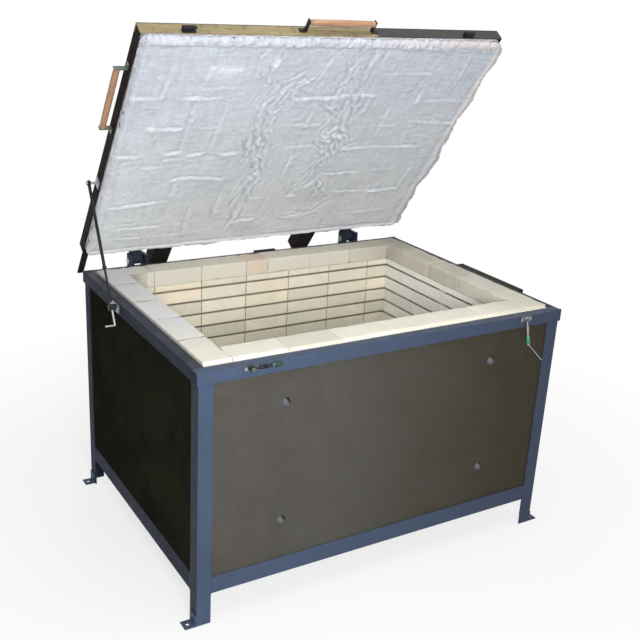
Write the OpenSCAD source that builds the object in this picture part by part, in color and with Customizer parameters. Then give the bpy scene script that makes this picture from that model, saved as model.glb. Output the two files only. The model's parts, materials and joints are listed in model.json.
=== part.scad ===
// Top-loading electric kiln with a propped lid, front towards -Y, standing on the floor at Z = 0.
// The origin is the middle of the four floor anchor holes. The lid is drawn propped open.

/* [Brickwork] */
// Length of the firing chamber, left to right
chamber_l = 1372; // [900:1:1800]
// Depth of the firing chamber, front to back
chamber_d = 916; // [600:1:1200]
// Thickness of the brick walls
wall_t = 114; // [90:1:130]
// Height of the top course of bricks
rim_h = 70; // [55:1:80]
// How far the top course stands above the steel ring
rim_proud = 12; // [8:1:20]
// Height of one course below the top one, joint included
course_h = 63.5; // [55:0.5:80]
// Number of courses that carry a heating element
courses = 10; // [4:1:11]
// Bricks along the inside of a long wall
bricks_long = 6; // [4:1:8]
// Bricks along the inside of a short wall
bricks_deep = 4; // [3:1:6]
// Open joint between two bricks
joint = 0.8; // [0.4:0.1:0.9]
// Thickness of the hearth bricks
hearth_t = 64; // [40:1:76]
// Height of the groove that holds an element
groove_h = 11; // [10:0.5:18]
// Depth of that groove
groove_d = 18; // [14:1:24]

/* [Heating elements] */
// Outer diameter of the element coil
element_d = 8; // [6:0.5:9]
// Distance between the two tails of one element
tail_pitch = 50; // [40:1:80]
// Diameter of the holes that the tails run through
tail_hole_d = 18; // [14:1:22]
// How far a tail stands out of its ceramic block
tail_out = 12; // [6:1:30]

/* [Steel frame] */
// Height of the ring's top face above the floor
frame_h = 1045; // [980:1:1150]
// Width of the ring's flat top flange
ring_flange = 44; // [36:1:60]
// Height of the ring's upright flange
ring_drop = 50; // [45:1:60]
// Thickness of the ring's angle iron
ring_t = 6; // [4:0.5:8]
// Width of each flange of a leg
leg_w = 60; // [45:1:80]
// Thickness of a leg's angle iron
leg_t = 6; // [4:0.5:8]
// Height of the bottom rails' underside above the floor
base_z = 131; // [90:1:150]
// Height of the bottom rails
base_h = 70; // [50:1:80]
// Width of the bottom rails' inward flange
base_flange = 50; // [40:1:60]
// Thickness of the bottom rails' angle iron
base_t = 6; // [4:0.5:8]
// Length of a floor bracket along the leg's side
foot_l = 50; // [40:1:58]
// Reach of a floor bracket out from the leg
foot_reach = 45; // [35:1:60]
// Height of a floor bracket's upright
foot_up = 50; // [30:1:80]
// Thickness of a floor bracket
foot_t = 5; // [4:0.5:8]
// Diameter of the floor anchor holes
foot_hole_d = 14; // [8:0.5:16]

/* [Cladding] */
// Thickness of the sheet panels
panel_t = 3; // [1.5:0.5:4]
// Thickness of the floor plate
floor_t = 3; // [2:0.5:6]
// Width of insulating board that shows between ring and bricks, front and back
board_lip = 8; // [4:1:20]
// Distance of the panel bolts from the middle of the front panel, sideways
bolt_out = 486; // [300:1:560]
// Distance of the panel bolts from the middle of the front panel, up and down
bolt_up = 248; // [150:1:300]
// Height of the middle of the panel bolts above the floor
bolt_mid_z = 617; // [560:1:680]
// Diameter of the domed panel bolts
bolt_d = 36; // [20:1:60]
// Height of the domes
bolt_h = 12; // [5:1:14]

/* [Terminal box] */
// Length of the terminal box along the right side
box_l = 452; // [300:1:600]
// Height of the terminal box
box_h = 650; // [640:1:700]
// Reach of the terminal box from the panel
box_reach = 162; // [90:1:200]
// Sheet thickness of the terminal box
box_t = 2; // [1:0.5:3]
// Gap between the ring and the top of the terminal box
box_drop = 2; // [1:1:10]
// Length of a ceramic terminal block
block_l = 84; // [80:1:120]
// Height of a ceramic terminal block
block_h = 30; // [22:1:40]
// Thickness of a ceramic terminal block
block_t = 22; // [15:1:40]
// Diameter of the cable gland's neck
gland_d = 32; // [20:1:50]
// Diameter of the cable gland's bore
gland_bore_d = 20; // [8:1:24]
// Diameter of the cable gland's collar
gland_collar_d = 44; // [36:1:60]
// Length of the cable gland below the box
gland_l = 25; // [12:1:40]

/* [Lid] */
// How far the lid's sides stand in from the ring's sides
lid_inset = 19; // [4:1:34]
// How far the closed lid runs past the ring's rear face
lid_over = 5; // [0:1:8]
// Height of the lid's steel frame
lid_drop = 48; // [40:1:60]
// Width of the lid frame's inward flange
lid_flange = 40; // [30:1:50]
// Thickness of the lid frame's angle iron
lid_t = 5; // [3:0.5:6]
// Thickness of the cover sheet
cover_t = 2; // [1:0.5:3]
// How far the lid is propped open, in degrees
lid_open = 53; // [20:1:70]
// How far the fibre lining hangs below the lid's steel
fibre_drop = 38; // [30:1:50]
// Gap between the lining and the upright flanges of the lid's frame
fibre_gap = 1; // [0.5:0.5:6]
// How far the lining swells down into the chamber
fibre_crown = 9; // [0:1:15]
// Radius over which the lining's edges are drawn in
fibre_edge = 30; // [15:1:36]
// Number of quilted fields, front to back
strips_deep = 8; // [4:1:10]
// Number of quilted fields, side to side
strips_long = 11; // [4:1:12]
// Depth of the channels between the fields
channel_d = 4; // [1:1:8]
// Width of those channels
channel_w = 30; // [15:1:50]
// Distance of the lid's arms from the middle
arm_out = 400; // [300:1:470]
// Width of an arm
arm_w = 93; // [60:1:100]
// Height of an arm
arm_h = 60; // [40:1:80]
// Wall thickness of an arm
arm_t = 3; // [2:0.5:5]
// Length of an arm on the cover
arm_on = 900; // [400:1:1200]
// How far the arms run past the rear edge
arm_past = 230; // [100:1:260]
// Width of the flat bar at the lid's left end
side_bar_w = 28; // [20:1:40]
// Thickness of that flat bar
side_bar_t = 10; // [6:1:14]
// Distance of that flat bar from the lid's left edge
side_bar_in = 28; // [10:1:60]

/* [Hinges] */
// Distance of the hinges from the middle
hinge_out = 575; // [510:1:640]
// Distance of the hinge axis behind the ring
hinge_back = 49; // [45:1:60]
// Height of the hinge axis above the ring's top
hinge_up = 8; // [4:1:14]
// Diameter of the hinge pins
pin_d = 20; // [12:1:24]
// Head diameter of the hinge pins
pin_head_d = 30; // [26:1:38]
// Thickness of a bracket ear
ear_t = 14; // [8:1:18]
// How far an ear reaches past the hinge axis
ear_past = 20; // [16:1:26]
// Height of the bracket ears above the ring
ear_up = 42; // [36:1:44]
// Thickness of the bracket's back plate
bracket_t = 5; // [4:0.5:6]
// Width of the hinge leaf on the lid
leaf_w = 50; // [30:1:60]
// Radius of the leaf's eye
leaf_r = 17; // [15:1:19]
// Side gap between leaf and ears
leaf_gap = 0.5; // [0.3:0.1:1]
// Length of the black buffer behind the ring
buffer_l = 113; // [60:1:160]
// Height of the buffer
buffer_h = 24; // [12:1:30]
// Thickness of the buffer
buffer_t = 16; // [8:1:24]
// Offset of the buffer from the middle
buffer_x = 70; // [-100:1:150]
// Height of the buffer's top above the ring
buffer_up = 4; // [0:1:8]

/* [Lid stay] */
// Distance of the stay's lug from the hinge axis, towards the front
lug_fore = 485; // [430:1:520]
// Diameter of the lug's pin and of the rod's eye
lug_pin_d = 10; // [8:1:14]
// Size of the lug's square plate
lug_plate = 40; // [30:1:46]
// Thickness of the lug's plate
lug_t = 4; // [3:0.5:6]
// Diameter of the upper, painted part of the rod
rod_d = 13; // [10:0.5:15]
// Diameter of the lower, bare part of the rod
rod_thin_d = 9; // [6:0.5:12]
// Diameter of the collar between the two
rod_collar_d = 18; // [16:0.5:20]
// Distance of the collar from the lug
rod_collar_at = 352; // [250:1:400]
// Length of rod below the guide with the lid propped open
rod_past = 75; // [50:1:120]
// Length of the rod's bent end
rod_bend = 40; // [20:1:60]
// Outer diameter of the rod's eye
rod_eye_d = 24; // [20:1:30]
// Width of the rod's eye along its pin
rod_eye_w = 10; // [6:1:14]
// Bore of the swivelling guide
guide_bore_d = 21; // [21:0.5:24]
// Wall round that bore
guide_wall = 3.5; // [3:0.5:6]
// Length of the guide along the rod
guide_l = 24; // [16:1:40]
// Diameter of the guide's trunnion
trunnion_d = 12; // [8:1:14]
// Thickness of the plate that the guide turns in
stay_base_t = 5; // [4:0.5:8]
// Length of that plate
stay_base_l = 70; // [60:1:90]
// Height of that plate
stay_base_h = 36; // [30:1:44]

/* [Latches] */
// Distance of the latches from the middle
latch_out = 640; // [520:1:720]
// Depth of the latch pivots below the ring's top
latch_below = 13; // [12:1:20]
// Thickness of a latch bracket's plate
latch_plate_t = 4; // [3:0.5:6]
// Width of a latch bracket's plate
latch_plate_w = 60; // [56:1:80]
// Height of a latch bracket's plate
latch_plate_h = 24; // [22:1:24]
// Diameter of the latch pins
latch_pin_d = 10; // [8:1:12]
// Outer diameter of a swing bolt's eye
latch_eye_d = 22; // [18:1:24]
// Width of a swing bolt's eye along its pin
latch_eye_w = 12; // [10:1:14]
// Diameter of a swing bolt's shank
shank_d = 8; // [6:0.5:9]
// Diameter of the collar on the shank
shank_collar_d = 13; // [10:0.5:13]
// Distance of that collar from the pin
shank_collar_at = 30; // [24:1:45]
// Diameter of the green knobs
knob_d = 18; // [14:1:20]
// Length of the green knobs
knob_l = 28; // [20:1:40]
// Length of the bright tip past a knob
tip_l = 6; // [4:1:12]
// Diameter of that tip
tip_d = 12; // [10:1:16]
// Width of a strike on the lid
strike_w = 54; // [40:1:60]
// Height of a strike
strike_h = 16; // [12:1:24]
// Width of the slot in a strike
slot_w = 11; // [10.5:0.5:14]
// Wall of a strike in front of its slot
strike_wall = 5; // [4:0.5:8]
// Gap between a closed strike and the knob above it
knob_gap = 5; // [5:0.5:10]
// Lean of the hanging right latch, in degrees
latch_lean = 12; // [0:1:30]
// Diameter of the wire on the right latch
wire_d = 4; // [2:0.5:6]
// Reach of that wire to the side
wire_reach = 66; // [40:1:120]
// Drop of that wire below the knob
wire_fall = 98; // [20:1:120]
// Diameter of the bracket screws' heads
screw_d = 12; // [8:1:14]
// Height of those heads
screw_h = 3; // [2:0.5:4]
// Distance of the screws from the middle of a latch bracket
screw_out = 22; // [20:1:24]

/* [Handles] */
// Length of the grips
grip_l = 300; // [200:1:360]
// Diameter of the wooden grips
grip_d = 26; // [20:1:34]
// Distance of the grips' axis from the lid
grip_off = 40; // [32:1:60]
// Width of the handle straps
strap_w = 20; // [14:1:26]
// Thickness of the handle straps
strap_t = 4; // [3:0.5:6]
// Length of a strap's foot on the lid
strap_foot = 30; // [20:1:50]
// Distance of the left handle's middle from the lid's front
left_grip_y = 340; // [250:1:700]

/* [Clearances] */
// Gap left round a sheet or board so that it can be slid in
fit = 0.3; // [0.2:0.1:0.8]
// Radial clearance of a pin in its bore
run_fit = 0.05; // [0.02:0.01:0.1]
// Gap under the closed lid's lining
seat_gap = 0.5; // [0.3:0.1:2]
// Gap beside a piece that swings
swing_gap = 1; // [0.5:0.1:2]
// How far a cut runs past the faces that it opens
overrun = 1; // [0.5:0.1:2]

/* [Hidden] */
$fn = 48;

// Colours, as the photograph shows them
paint = "#5a6c8a";
panel_paint = "#5c5850";
dark = "#2a2623";
cream = "#e6dfc8";
board_white = "#e9e6dc";
fibre_white = "#e4e6ea";
steel = "#b9bcc0";
straw = "#a89a6c";
wood = "#b06a3c";
green = "#2f8a4e";
iron = "#4a4440";

// The brick block and the frame round it
block_w = chamber_l + 2 * wall_t;
block_d = chamber_d + 2 * wall_t;
frame_w = block_w + 2 * ring_flange;
frame_d = block_d + 2 * (board_lip + ring_flange);
rim_top = frame_h + rim_proud;
rim_z = rim_top - rim_h;
hearth_z = rim_z - courses * course_h;

// Faces of the legs, panels and boards, measured from the middle
leg_x = frame_w / 2 - ring_t;
leg_y = frame_d / 2 - ring_t;
panel_x = leg_x - max(leg_t, base_t);
panel_y = leg_y - max(leg_t, base_t);
board_x = panel_x - panel_t;
board_y = panel_y - panel_t;
shelf_z = base_z + base_t;
plate_z = shelf_z + floor_t;
under_ring = frame_h - ring_t;

// Floor anchor holes
anchor_x = leg_x + foot_t + (foot_reach - foot_t) / 2;
anchor_y = leg_y - foot_l / 2;

// Heating elements
element_x = chamber_l / 2 + groove_d / 2;
element_y = chamber_d / 2 + groove_d / 2;
element_lift = -groove_h / 2 + element_d / 2 + fit;
tail_end = panel_x + block_t + tail_out;

// Terminal box
box_top = frame_h - ring_drop - box_drop;
box_x = panel_x + box_reach;
gland_x = panel_x + box_reach / 2;

// Lid, drawn closed and then turned about the hinge axis
lid_w = frame_w - 2 * lid_inset;
lid_d = frame_d + lid_over;
lid_front = -frame_d / 2;
lid_back = lid_front + lid_d;
lid_mid = (lid_front + lid_back) / 2;
lid_z = rim_top + fibre_drop;
lid_top = lid_z + lid_drop;
hinge_y = frame_d / 2 + hinge_back;
hinge_z = frame_h + hinge_up;

// Stay: lug and guide lie equally far from the hinge axis, so the rod turns half as far as the lid
lug_y = hinge_y - lug_fore;
lug_z = lid_z + lid_drop / 2;
stay_r = norm([lug_y - hinge_y, lug_z - hinge_z]);
guide_z = frame_h - ring_drop / 2;
guide_y = hinge_y - sqrt(pow(stay_r, 2) - pow(hinge_z - guide_z, 2));
guide_w = guide_bore_d + 2 * guide_wall;
stay_x = -(frame_w / 2 + stay_base_t + fit + guide_w / 2);
lug_open_y = hinge_y + (lug_y - hinge_y) * cos(lid_open) + (lug_z - hinge_z) * sin(lid_open);
lug_open_z = hinge_z - (lug_y - hinge_y) * sin(lid_open) + (lug_z - hinge_z) * cos(lid_open);
rod_tilt = atan2(lug_open_y - guide_y, lug_open_z - guide_z);
rod_reach = norm([lug_open_y - guide_y, lug_open_z - guide_z]);

// Latches
latch_z = frame_h - latch_below;
latch_face = -frame_d / 2 - latch_plate_t;
latch_y = latch_face - swing_gap - latch_eye_w / 2;
latch_head_y = latch_y - latch_eye_w / 2 - swing_gap;
knob_from = lid_z - latch_z + strike_h + knob_gap;
knob_to = knob_from + knob_l;
strike_front = latch_y - slot_w / 2 - strike_wall;

// One piece of a rectangular angle-iron frame, flat flange on top and upright flange outside
module frame_rail_front(w, d, flange, drop, t, top) {
    translate([-w / 2, -d / 2, top - t]) cube([w, flange, t]);
    translate([-w / 2, -d / 2, top - drop]) cube([w, t, drop]);
}
module frame_rail_left(w, d, flange, drop, t, top) {
    translate([-w / 2, -d / 2 + flange, top - t]) cube([flange, d - 2 * flange, t]);
    translate([-w / 2, -d / 2 + t, top - drop]) cube([t, d - 2 * t, drop - t]);
}

// A block given by its two corners
module block(low, high) { translate(low) cube(high - low); }

// A round bar from a to b along one axis
module bar_x(a, b, d) { translate([a, 0, 0]) rotate([0, 90, 0]) cylinder(d = d, h = b - a); }
module bar_y(a, b, d) { translate([0, b, 0]) rotate([90, 0, 0]) cylinder(d = d, h = b - a); }

// Legs
module leg(sx, sy) {
    color(paint) mirror([sx > 0 ? 1 : 0, 0, 0]) mirror([0, sy > 0 ? 1 : 0, 0]) {
        block([-leg_x, -leg_y, 0], [-leg_x + leg_w, -leg_y + leg_t, under_ring]);
        block([-leg_x, -leg_y, 0], [-leg_x + leg_t, -leg_y + leg_w, under_ring]);
    }
}
module leg_front_left() { leg(-1, -1); }
module leg_front_right() { leg(1, -1); }
module leg_back_left() { leg(-1, 1); }
module leg_back_right() { leg(1, 1); }

// Top ring
module ring_front() {
    color(paint) frame_rail_front(frame_w, frame_d, ring_flange, ring_drop, ring_t, frame_h);
}
module ring_back() { mirror([0, 1, 0]) ring_front(); }
module ring_side() { frame_rail_left(frame_w, frame_d, ring_flange, ring_drop, ring_t, frame_h); }
module ring_left() {
    color(paint) difference() {
        ring_side();
        translate([0, guide_y, guide_z])
            bar_x(-frame_w / 2 - overrun, -leg_x + overrun, trunnion_d + 2 * fit);
    }
}
module ring_right() { color(paint) mirror([1, 0, 0]) ring_side(); }

// Bottom rails
module base_rail_front() {
    color(paint) {
        block([-leg_x + leg_w, -leg_y, base_z], [leg_x - leg_w, -leg_y + base_t, base_z + base_h]);
        block([-leg_x + leg_w, -leg_y, base_z], [leg_x - leg_w, -leg_y + base_flange, shelf_z]);
    }
}
module base_rail_back() { mirror([0, 1, 0]) base_rail_front(); }
module base_rail_left() {
    color(paint) {
        block([-leg_x, -leg_y + leg_w, base_z], [-leg_x + base_t, leg_y - leg_w, base_z + base_h]);
        block([-leg_x, -leg_y + leg_w, base_z], [-leg_x + base_flange, leg_y - leg_w, shelf_z]);
    }
}
module base_rail_right() { mirror([1, 0, 0]) base_rail_left(); }

// Floor brackets with their anchor holes
module foot() {
    difference() {
        union() {
            block([leg_x, -foot_l / 2, 0], [leg_x + foot_t, foot_l / 2, foot_up]);
            block([leg_x, -foot_l / 2, 0], [leg_x + foot_reach, foot_l / 2, foot_t]);
        }
        translate([anchor_x, 0, -overrun]) cylinder(d = foot_hole_d, h = foot_t + 2 * overrun);
    }
}
module feet() {
    color(paint) for (sx = [0, 1], sy = [-1, 1]) mirror([sx, 0, 0]) translate([0, sy * anchor_y, 0]) foot();
}

// Floor plate and panels
module floor_plate() {
    half_w = board_x - fit;
    half_d = board_y - fit;
    color(panel_paint) block([-half_w, -half_d, shelf_z], [half_w, half_d, plate_z]);
}
module panel_front() {
    color(panel_paint) block([-panel_x + fit, -panel_y, shelf_z], [panel_x - fit, -board_y, under_ring]);
}
module panel_back() { mirror([0, 1, 0]) panel_front(); }
module panel_side() { block([-panel_x, -board_y + fit, shelf_z], [-board_x, board_y - fit, under_ring]); }
module panel_left() { color(panel_paint) panel_side(); }
module panel_right() {
    color(panel_paint) difference() {
        mirror([1, 0, 0]) panel_side();
        tail_holes();
    }
}
module panel_bolts() {
    dome_r = (pow(bolt_d / 2, 2) + pow(bolt_h, 2)) / (2 * bolt_h);
    color(panel_paint) for (sx = [-1, 1], sz = [-1, 1])
        translate([sx * bolt_out, -panel_y, bolt_mid_z + sz * bolt_up]) intersection() {
            translate([0, dome_r - bolt_h, 0]) sphere(r = dome_r);
            bar_y(-bolt_h - overrun, 0, bolt_d + overrun);
        }
}

// Insulating boards behind the panels
module board_front() {
    color(board_white) {
        block([-board_x + fit, -board_y, plate_z], [board_x - fit, -block_d / 2, under_ring]);
        block([-block_w / 2, -block_d / 2 - board_lip, plate_z], [block_w / 2, -block_d / 2, frame_h]);
    }
}
module board_back() { mirror([0, 1, 0]) board_front(); }
module board_side() {
    block([-board_x, -block_d / 2 + fit, plate_z], [-block_w / 2, block_d / 2 - fit, under_ring]);
}
module board_left() { color(board_white) board_side(); }
module board_right() {
    color(board_white) difference() {
        mirror([1, 0, 0]) board_side();
        tail_holes();
    }
}
module floor_board() {
    half_w = block_w / 2 - fit;
    half_d = block_d / 2 - fit;
    color(board_white) block([-half_w, -half_d, plate_z], [half_w, half_d, hearth_z - hearth_t]);
}

// A row of bricks along X that starts at x = 0: each entry of cuts is a brick's length
module brick_row(cuts, depth, height) {
    for (i = [0 : len(cuts) - 1]) {
        start = i == 0 ? 0 : [for (a = 0, s = cuts[0]; a < i; a = a + 1, s = s + cuts[a]) s][i - 1];
        translate([start + joint / 2, 0, 0]) cube([cuts[i] - joint, depth, height - joint]);
    }
}
function even_cuts(length, count) = [for (i = [0 : count - 1]) length / count];

// Lower courses: the long walls run through, the short walls stand between them. Each groove is cut
// half from the brick below it and half from the one above, so a wall starts and ends with split bricks
module grooved_courses(cuts, length) {
    for (c = [0 : courses]) translate([-length / 2, 0, hearth_z]) difference() {
        from = max(0, c - 0.5) * course_h;
        to = min(courses, c + 0.5) * course_h;
        translate([0, 0, from]) brick_row(cuts, wall_t, to - from);
        for (g = [max(0, c - 1) : min(courses - 1, c)])
            translate([-overrun, wall_t - groove_d, (g + 0.5) * course_h - groove_h / 2])
                cube([length + 2 * overrun, groove_d + overrun, groove_h]);
    }
}
module wall_front() {
    color(cream) translate([0, -block_d / 2, 0])
        grooved_courses(even_cuts(block_w, bricks_long + 1), block_w);
}
module wall_back() { mirror([0, 1, 0]) wall_front(); }
module wall_left() {
    color(cream) translate([-block_w / 2, 0, 0]) rotate([0, 0, -90])
        grooved_courses(even_cuts(chamber_d, bricks_deep), chamber_d);
}
module wall_right() {
    color(cream) difference() {
        mirror([1, 0, 0]) wall_left();
        tail_holes();
    }
}

// Top course: the short walls run through, and the rear wall has two cut bricks
module rim_bricks() {
    whole = chamber_l / bricks_long;
    half = whole / 2;
    front_cuts = even_cuts(chamber_l, bricks_long);
    rear_cuts = concat([half, whole, whole, half], [for (i = [4 : bricks_long]) whole]);
    side_cuts = even_cuts(block_d, bricks_deep + 1);
    color(cream) translate([0, 0, rim_z]) {
        translate([-chamber_l / 2, -block_d / 2, 0]) brick_row(front_cuts, wall_t, rim_h + joint);
        translate([-chamber_l / 2, chamber_d / 2, 0]) brick_row(rear_cuts, wall_t, rim_h + joint);
        for (s = [0, 1]) mirror([s, 0, 0]) translate([-block_w / 2, block_d / 2, 0]) rotate([0, 0, -90])
            brick_row(side_cuts, wall_t, rim_h + joint);
    }
}
module hearth_bricks() {
    rows = 2 * (bricks_deep + 1);
    color(cream) for (r = [0 : rows - 1])
        translate([-block_w / 2, -block_d / 2 + r * block_d / rows + joint / 2, hearth_z - hearth_t])
            brick_row(even_cuts(block_w, bricks_long + 1), block_d / rows - joint, hearth_t);
}

// Heating elements: one open loop in each course, with two tails out through the right wall
function element_z(c) = hearth_z + (c + 0.5) * course_h + element_lift;
module element_loop() {
    corners = [
        [element_x, -tail_pitch / 2], [element_x, -element_y], [-element_x, -element_y],
        [-element_x, element_y], [element_x, element_y], [element_x, tail_pitch / 2]
    ];
    for (p = corners) translate(p) sphere(d = element_d);
    for (s = [-1, 1]) {
        translate([0, s * element_y, 0]) bar_x(-element_x, element_x, element_d);
        translate([0, s * tail_pitch / 2, 0]) bar_x(element_x, tail_end, element_d);
    }
    translate([-element_x, 0, 0]) bar_y(-element_y, element_y, element_d);
    translate([element_x, 0, 0]) bar_y(-element_y, -tail_pitch / 2, element_d);
    translate([element_x, 0, 0]) bar_y(tail_pitch / 2, element_y, element_d);
}
module elements() { color(iron) for (c = [0 : courses - 1]) translate([0, 0, element_z(c)]) element_loop(); }
module tail_holes() {
    from = chamber_l / 2 + groove_d - overrun;
    for (c = [0 : courses - 1], s = [-1, 1])
        translate([0, s * tail_pitch / 2, element_z(c)]) bar_x(from, panel_x + overrun, tail_hole_d);
}

// Terminal box on the right side
module terminal_box() {
    low = box_top - box_h;
    inner = box_l / 2 - box_t;
    color(dark) difference() {
        block([panel_x, -box_l / 2, low], [box_x, box_l / 2, box_top]);
        block([panel_x - overrun, -inner, low + box_t], [box_x + overrun, inner, box_top - box_t]);
        translate([gland_x, 0, low - overrun]) cylinder(d = gland_d + 2 * fit, h = box_t + 2 * overrun);
    }
}
module terminal_cover() {
    color(dark) block([box_x, -box_l / 2, box_top - box_h], [box_x + box_t, box_l / 2, box_top]);
}
module terminal_blocks() {
    color(cream) for (c = [0 : courses - 1]) translate([0, 0, element_z(c)]) difference() {
        block([panel_x, -block_l / 2, -block_h / 2], [panel_x + block_t, block_l / 2, block_h / 2]);
        for (s = [-1, 1]) translate([0, s * tail_pitch / 2, 0])
            bar_x(panel_x - overrun, panel_x + block_t + overrun, element_d + 2 * fit);
    }
}
module cable_gland() {
    color(dark) translate([gland_x, 0, box_top - box_h]) difference() {
        union() {
            translate([0, 0, -gland_l]) cylinder(d = gland_collar_d, h = gland_l);
            cylinder(d = gland_d, h = 3 * box_t);
        }
        translate([0, 0, -gland_l - overrun])
            cylinder(d = gland_bore_d, h = gland_l + 3 * box_t + 2 * overrun);
    }
}

// Hinge brackets on the rear of the ring
ear_in = leaf_w / 2 + leaf_gap;
ear_out = ear_in + ear_t;
bracket_y = frame_d / 2 + bracket_t;
module hinge_brackets() {
    color(paint) for (s = [-1, 1]) translate([s * hinge_out, 0, 0]) difference() {
        union() {
            block([-ear_out, frame_d / 2, frame_h - ring_drop], [ear_out, bracket_y, frame_h]);
            for (e = [0, 1]) mirror([e, 0, 0])
                block(
                    [ear_in, bracket_y, frame_h - ring_drop],
                    [ear_out, hinge_y + ear_past, frame_h + ear_up]
                );
        }
        translate([0, hinge_y, hinge_z]) bar_x(-ear_out - overrun, ear_out + overrun, pin_d + 2 * run_fit);
    }
}
module hinge_pins() {
    head_t = pin_d / 5;
    color(steel) for (s = [-1, 1]) translate([s * hinge_out, hinge_y, hinge_z]) {
        bar_x(-ear_out - fit, ear_out + fit, pin_d);
        for (e = [0, 1]) mirror([e, 0, 0]) bar_x(ear_out + fit, ear_out + fit + head_t, pin_head_d);
    }
}
module rear_buffer() {
    color(dark) block(
        [buffer_x - buffer_l / 2, frame_d / 2, frame_h + buffer_up - buffer_h],
        [buffer_x + buffer_l / 2, frame_d / 2 + buffer_t, frame_h + buffer_up]
    );
}

// Fixed plate that the stay's guide turns in
module stay_base() {
    color(steel) difference() {
        block(
            [-frame_w / 2 - stay_base_t, guide_y - stay_base_l / 2, guide_z - stay_base_h / 2],
            [-frame_w / 2, guide_y + stay_base_l / 2, guide_z + stay_base_h / 2]
        );
        translate([0, guide_y, guide_z])
            bar_x(-frame_w / 2 - stay_base_t - overrun, -frame_w / 2 + overrun, trunnion_d + 2 * run_fit);
    }
}

// Latch brackets: a plate on the ring with a headed pin for the swing bolt
module latch_brackets() {
    head_t = latch_pin_d / 3;
    color(steel) for (s = [-1, 1]) translate([s * latch_out, 0, latch_z]) {
        block(
            [-latch_plate_w / 2, latch_face, -latch_plate_h / 2],
            [latch_plate_w / 2, -frame_d / 2, latch_plate_h / 2]
        );
        bar_y(latch_head_y, latch_face, latch_pin_d);
        bar_y(latch_head_y - head_t, latch_head_y, latch_eye_d * 0.75);
    }
}
module bracket_screws() {
    color(steel) {
        for (s = [-1, 1], e = [-1, 1]) translate([s * latch_out + e * screw_out, 0, latch_z])
            bar_y(latch_face - screw_h, latch_face, screw_d);
        for (e = [-1, 1]) translate([0, guide_y + e * (stay_base_l / 2 - screw_d), guide_z])
            bar_x(-frame_w / 2 - stay_base_t - screw_h, -frame_w / 2 - stay_base_t, screw_d);
    }
}

// Everything on the lid is drawn closed and then turned open
module opened() {
    translate([0, hinge_y, hinge_z]) rotate([-lid_open, 0, 0]) translate([0, -hinge_y, -hinge_z]) children();
}
module lid_side_rail() { frame_rail_left(lid_w, lid_d, lid_flange, lid_drop, lid_t, lid_top); }
module lid_end_rail() { frame_rail_front(lid_w, lid_d, lid_flange, lid_drop, lid_t, lid_top); }
module lid_rail_front() { color(straw) opened() translate([0, lid_mid, 0]) lid_end_rail(); }
module lid_rail_back() { color(dark) opened() translate([0, lid_mid, 0]) mirror([0, 1, 0]) lid_end_rail(); }
module lid_rail_left() { color(dark) opened() translate([0, lid_mid, 0]) lid_side_rail(); }
module lid_rail_right() { color(dark) opened() translate([0, lid_mid, 0]) mirror([1, 0, 0]) lid_side_rail(); }
module lid_cover() {
    color(dark) opened() block([-lid_w / 2, lid_front, lid_top], [lid_w / 2, lid_back, lid_top + cover_t]);
}

// Fibre lining: a quilted pad, drawn in at its edges and swelling into the chamber
fibre_x = lid_w / 2 - lid_t - fibre_gap;
fibre_y = lid_d / 2 - lid_t - fibre_gap;
fibre_z = rim_top + seat_gap;
fibre_top = lid_top - lid_t - fit;
function drawn_in(gap) =
    gap >= fibre_edge ? 0 : fibre_edge - sqrt(pow(fibre_edge, 2) - pow(fibre_edge - gap, 2));
function swell(x, y) =
    let (inside = min(chamber_l / 2 - abs(x), chamber_d / 2 - abs(y + lid_mid)))
    inside <= 0 ? 0 : fibre_crown * (1 - exp(-inside / fibre_edge));
// Stations across the lining: close together at its rounded edges and at each channel
function stations(half, count) =
    let (pitch = 2 * half / count)
    concat(
        [for (f = [0, 0.08, 0.3, 1]) -half + f * fibre_edge],
        [for (i = [1 : count - 1], f = [-channel_w / 2, 0, channel_w / 2]) -half + i * pitch + f],
        [for (f = [1, 0.3, 0.08, 0]) half - f * fibre_edge]
    );
function in_channel(v, half, count) =
    let (pitch = 2 * half / count, off = (v + half) / pitch, near = round(off))
    near > 0 && near < count && abs(off - near) * pitch < channel_w / 4 ? channel_d : 0;
function fibre_face(x, y) =
    fibre_z - swell(x, y)
    + max(drawn_in(fibre_x - abs(x)), drawn_in(fibre_y - abs(y)))
    + max(in_channel(x, fibre_x, strips_long), in_channel(y, fibre_y, strips_deep));
module fibre_pad() {
    xs = stations(fibre_x, strips_long);
    ys = stations(fibre_y, strips_deep);
    across = len(xs);
    last = len(ys) - 1;
    low = [for (y = ys, x = xs) [x, y, fibre_face(x, y)]];
    edge = concat(
        [for (i = [0 : across - 2]) i],
        [for (j = [0 : last - 1]) j * across + across - 1],
        [for (i = [across - 1 : -1 : 1]) last * across + i],
        [for (j = [last : -1 : 1]) j * across]
    );
    high = [for (e = edge) [low[e][0], low[e][1], fibre_top]];
    base = len(low);
    count = len(edge);
    cells = [for (j = [0 : last - 1], i = [0 : across - 2]) j * across + i];
    faces = concat(
        [for (c = cells) [c, c + 1, c + across]],
        [for (c = cells) [c + 1, c + across + 1, c + across]],
        [for (k = [0 : count - 1]) [edge[k], base + k, edge[(k + 1) % count]]],
        [for (k = [0 : count - 1]) [edge[(k + 1) % count], base + k, base + (k + 1) % count]],
        [for (k = [0 : count - 1]) [base + (k + 1) % count, base + k, base + count]]
    );
    polyhedron(points = concat(low, high, [[0, 0, fibre_top]]), faces = faces);
}
module lid_fibre() { color(fibre_white) opened() translate([0, lid_mid, 0]) fibre_pad(); }

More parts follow.
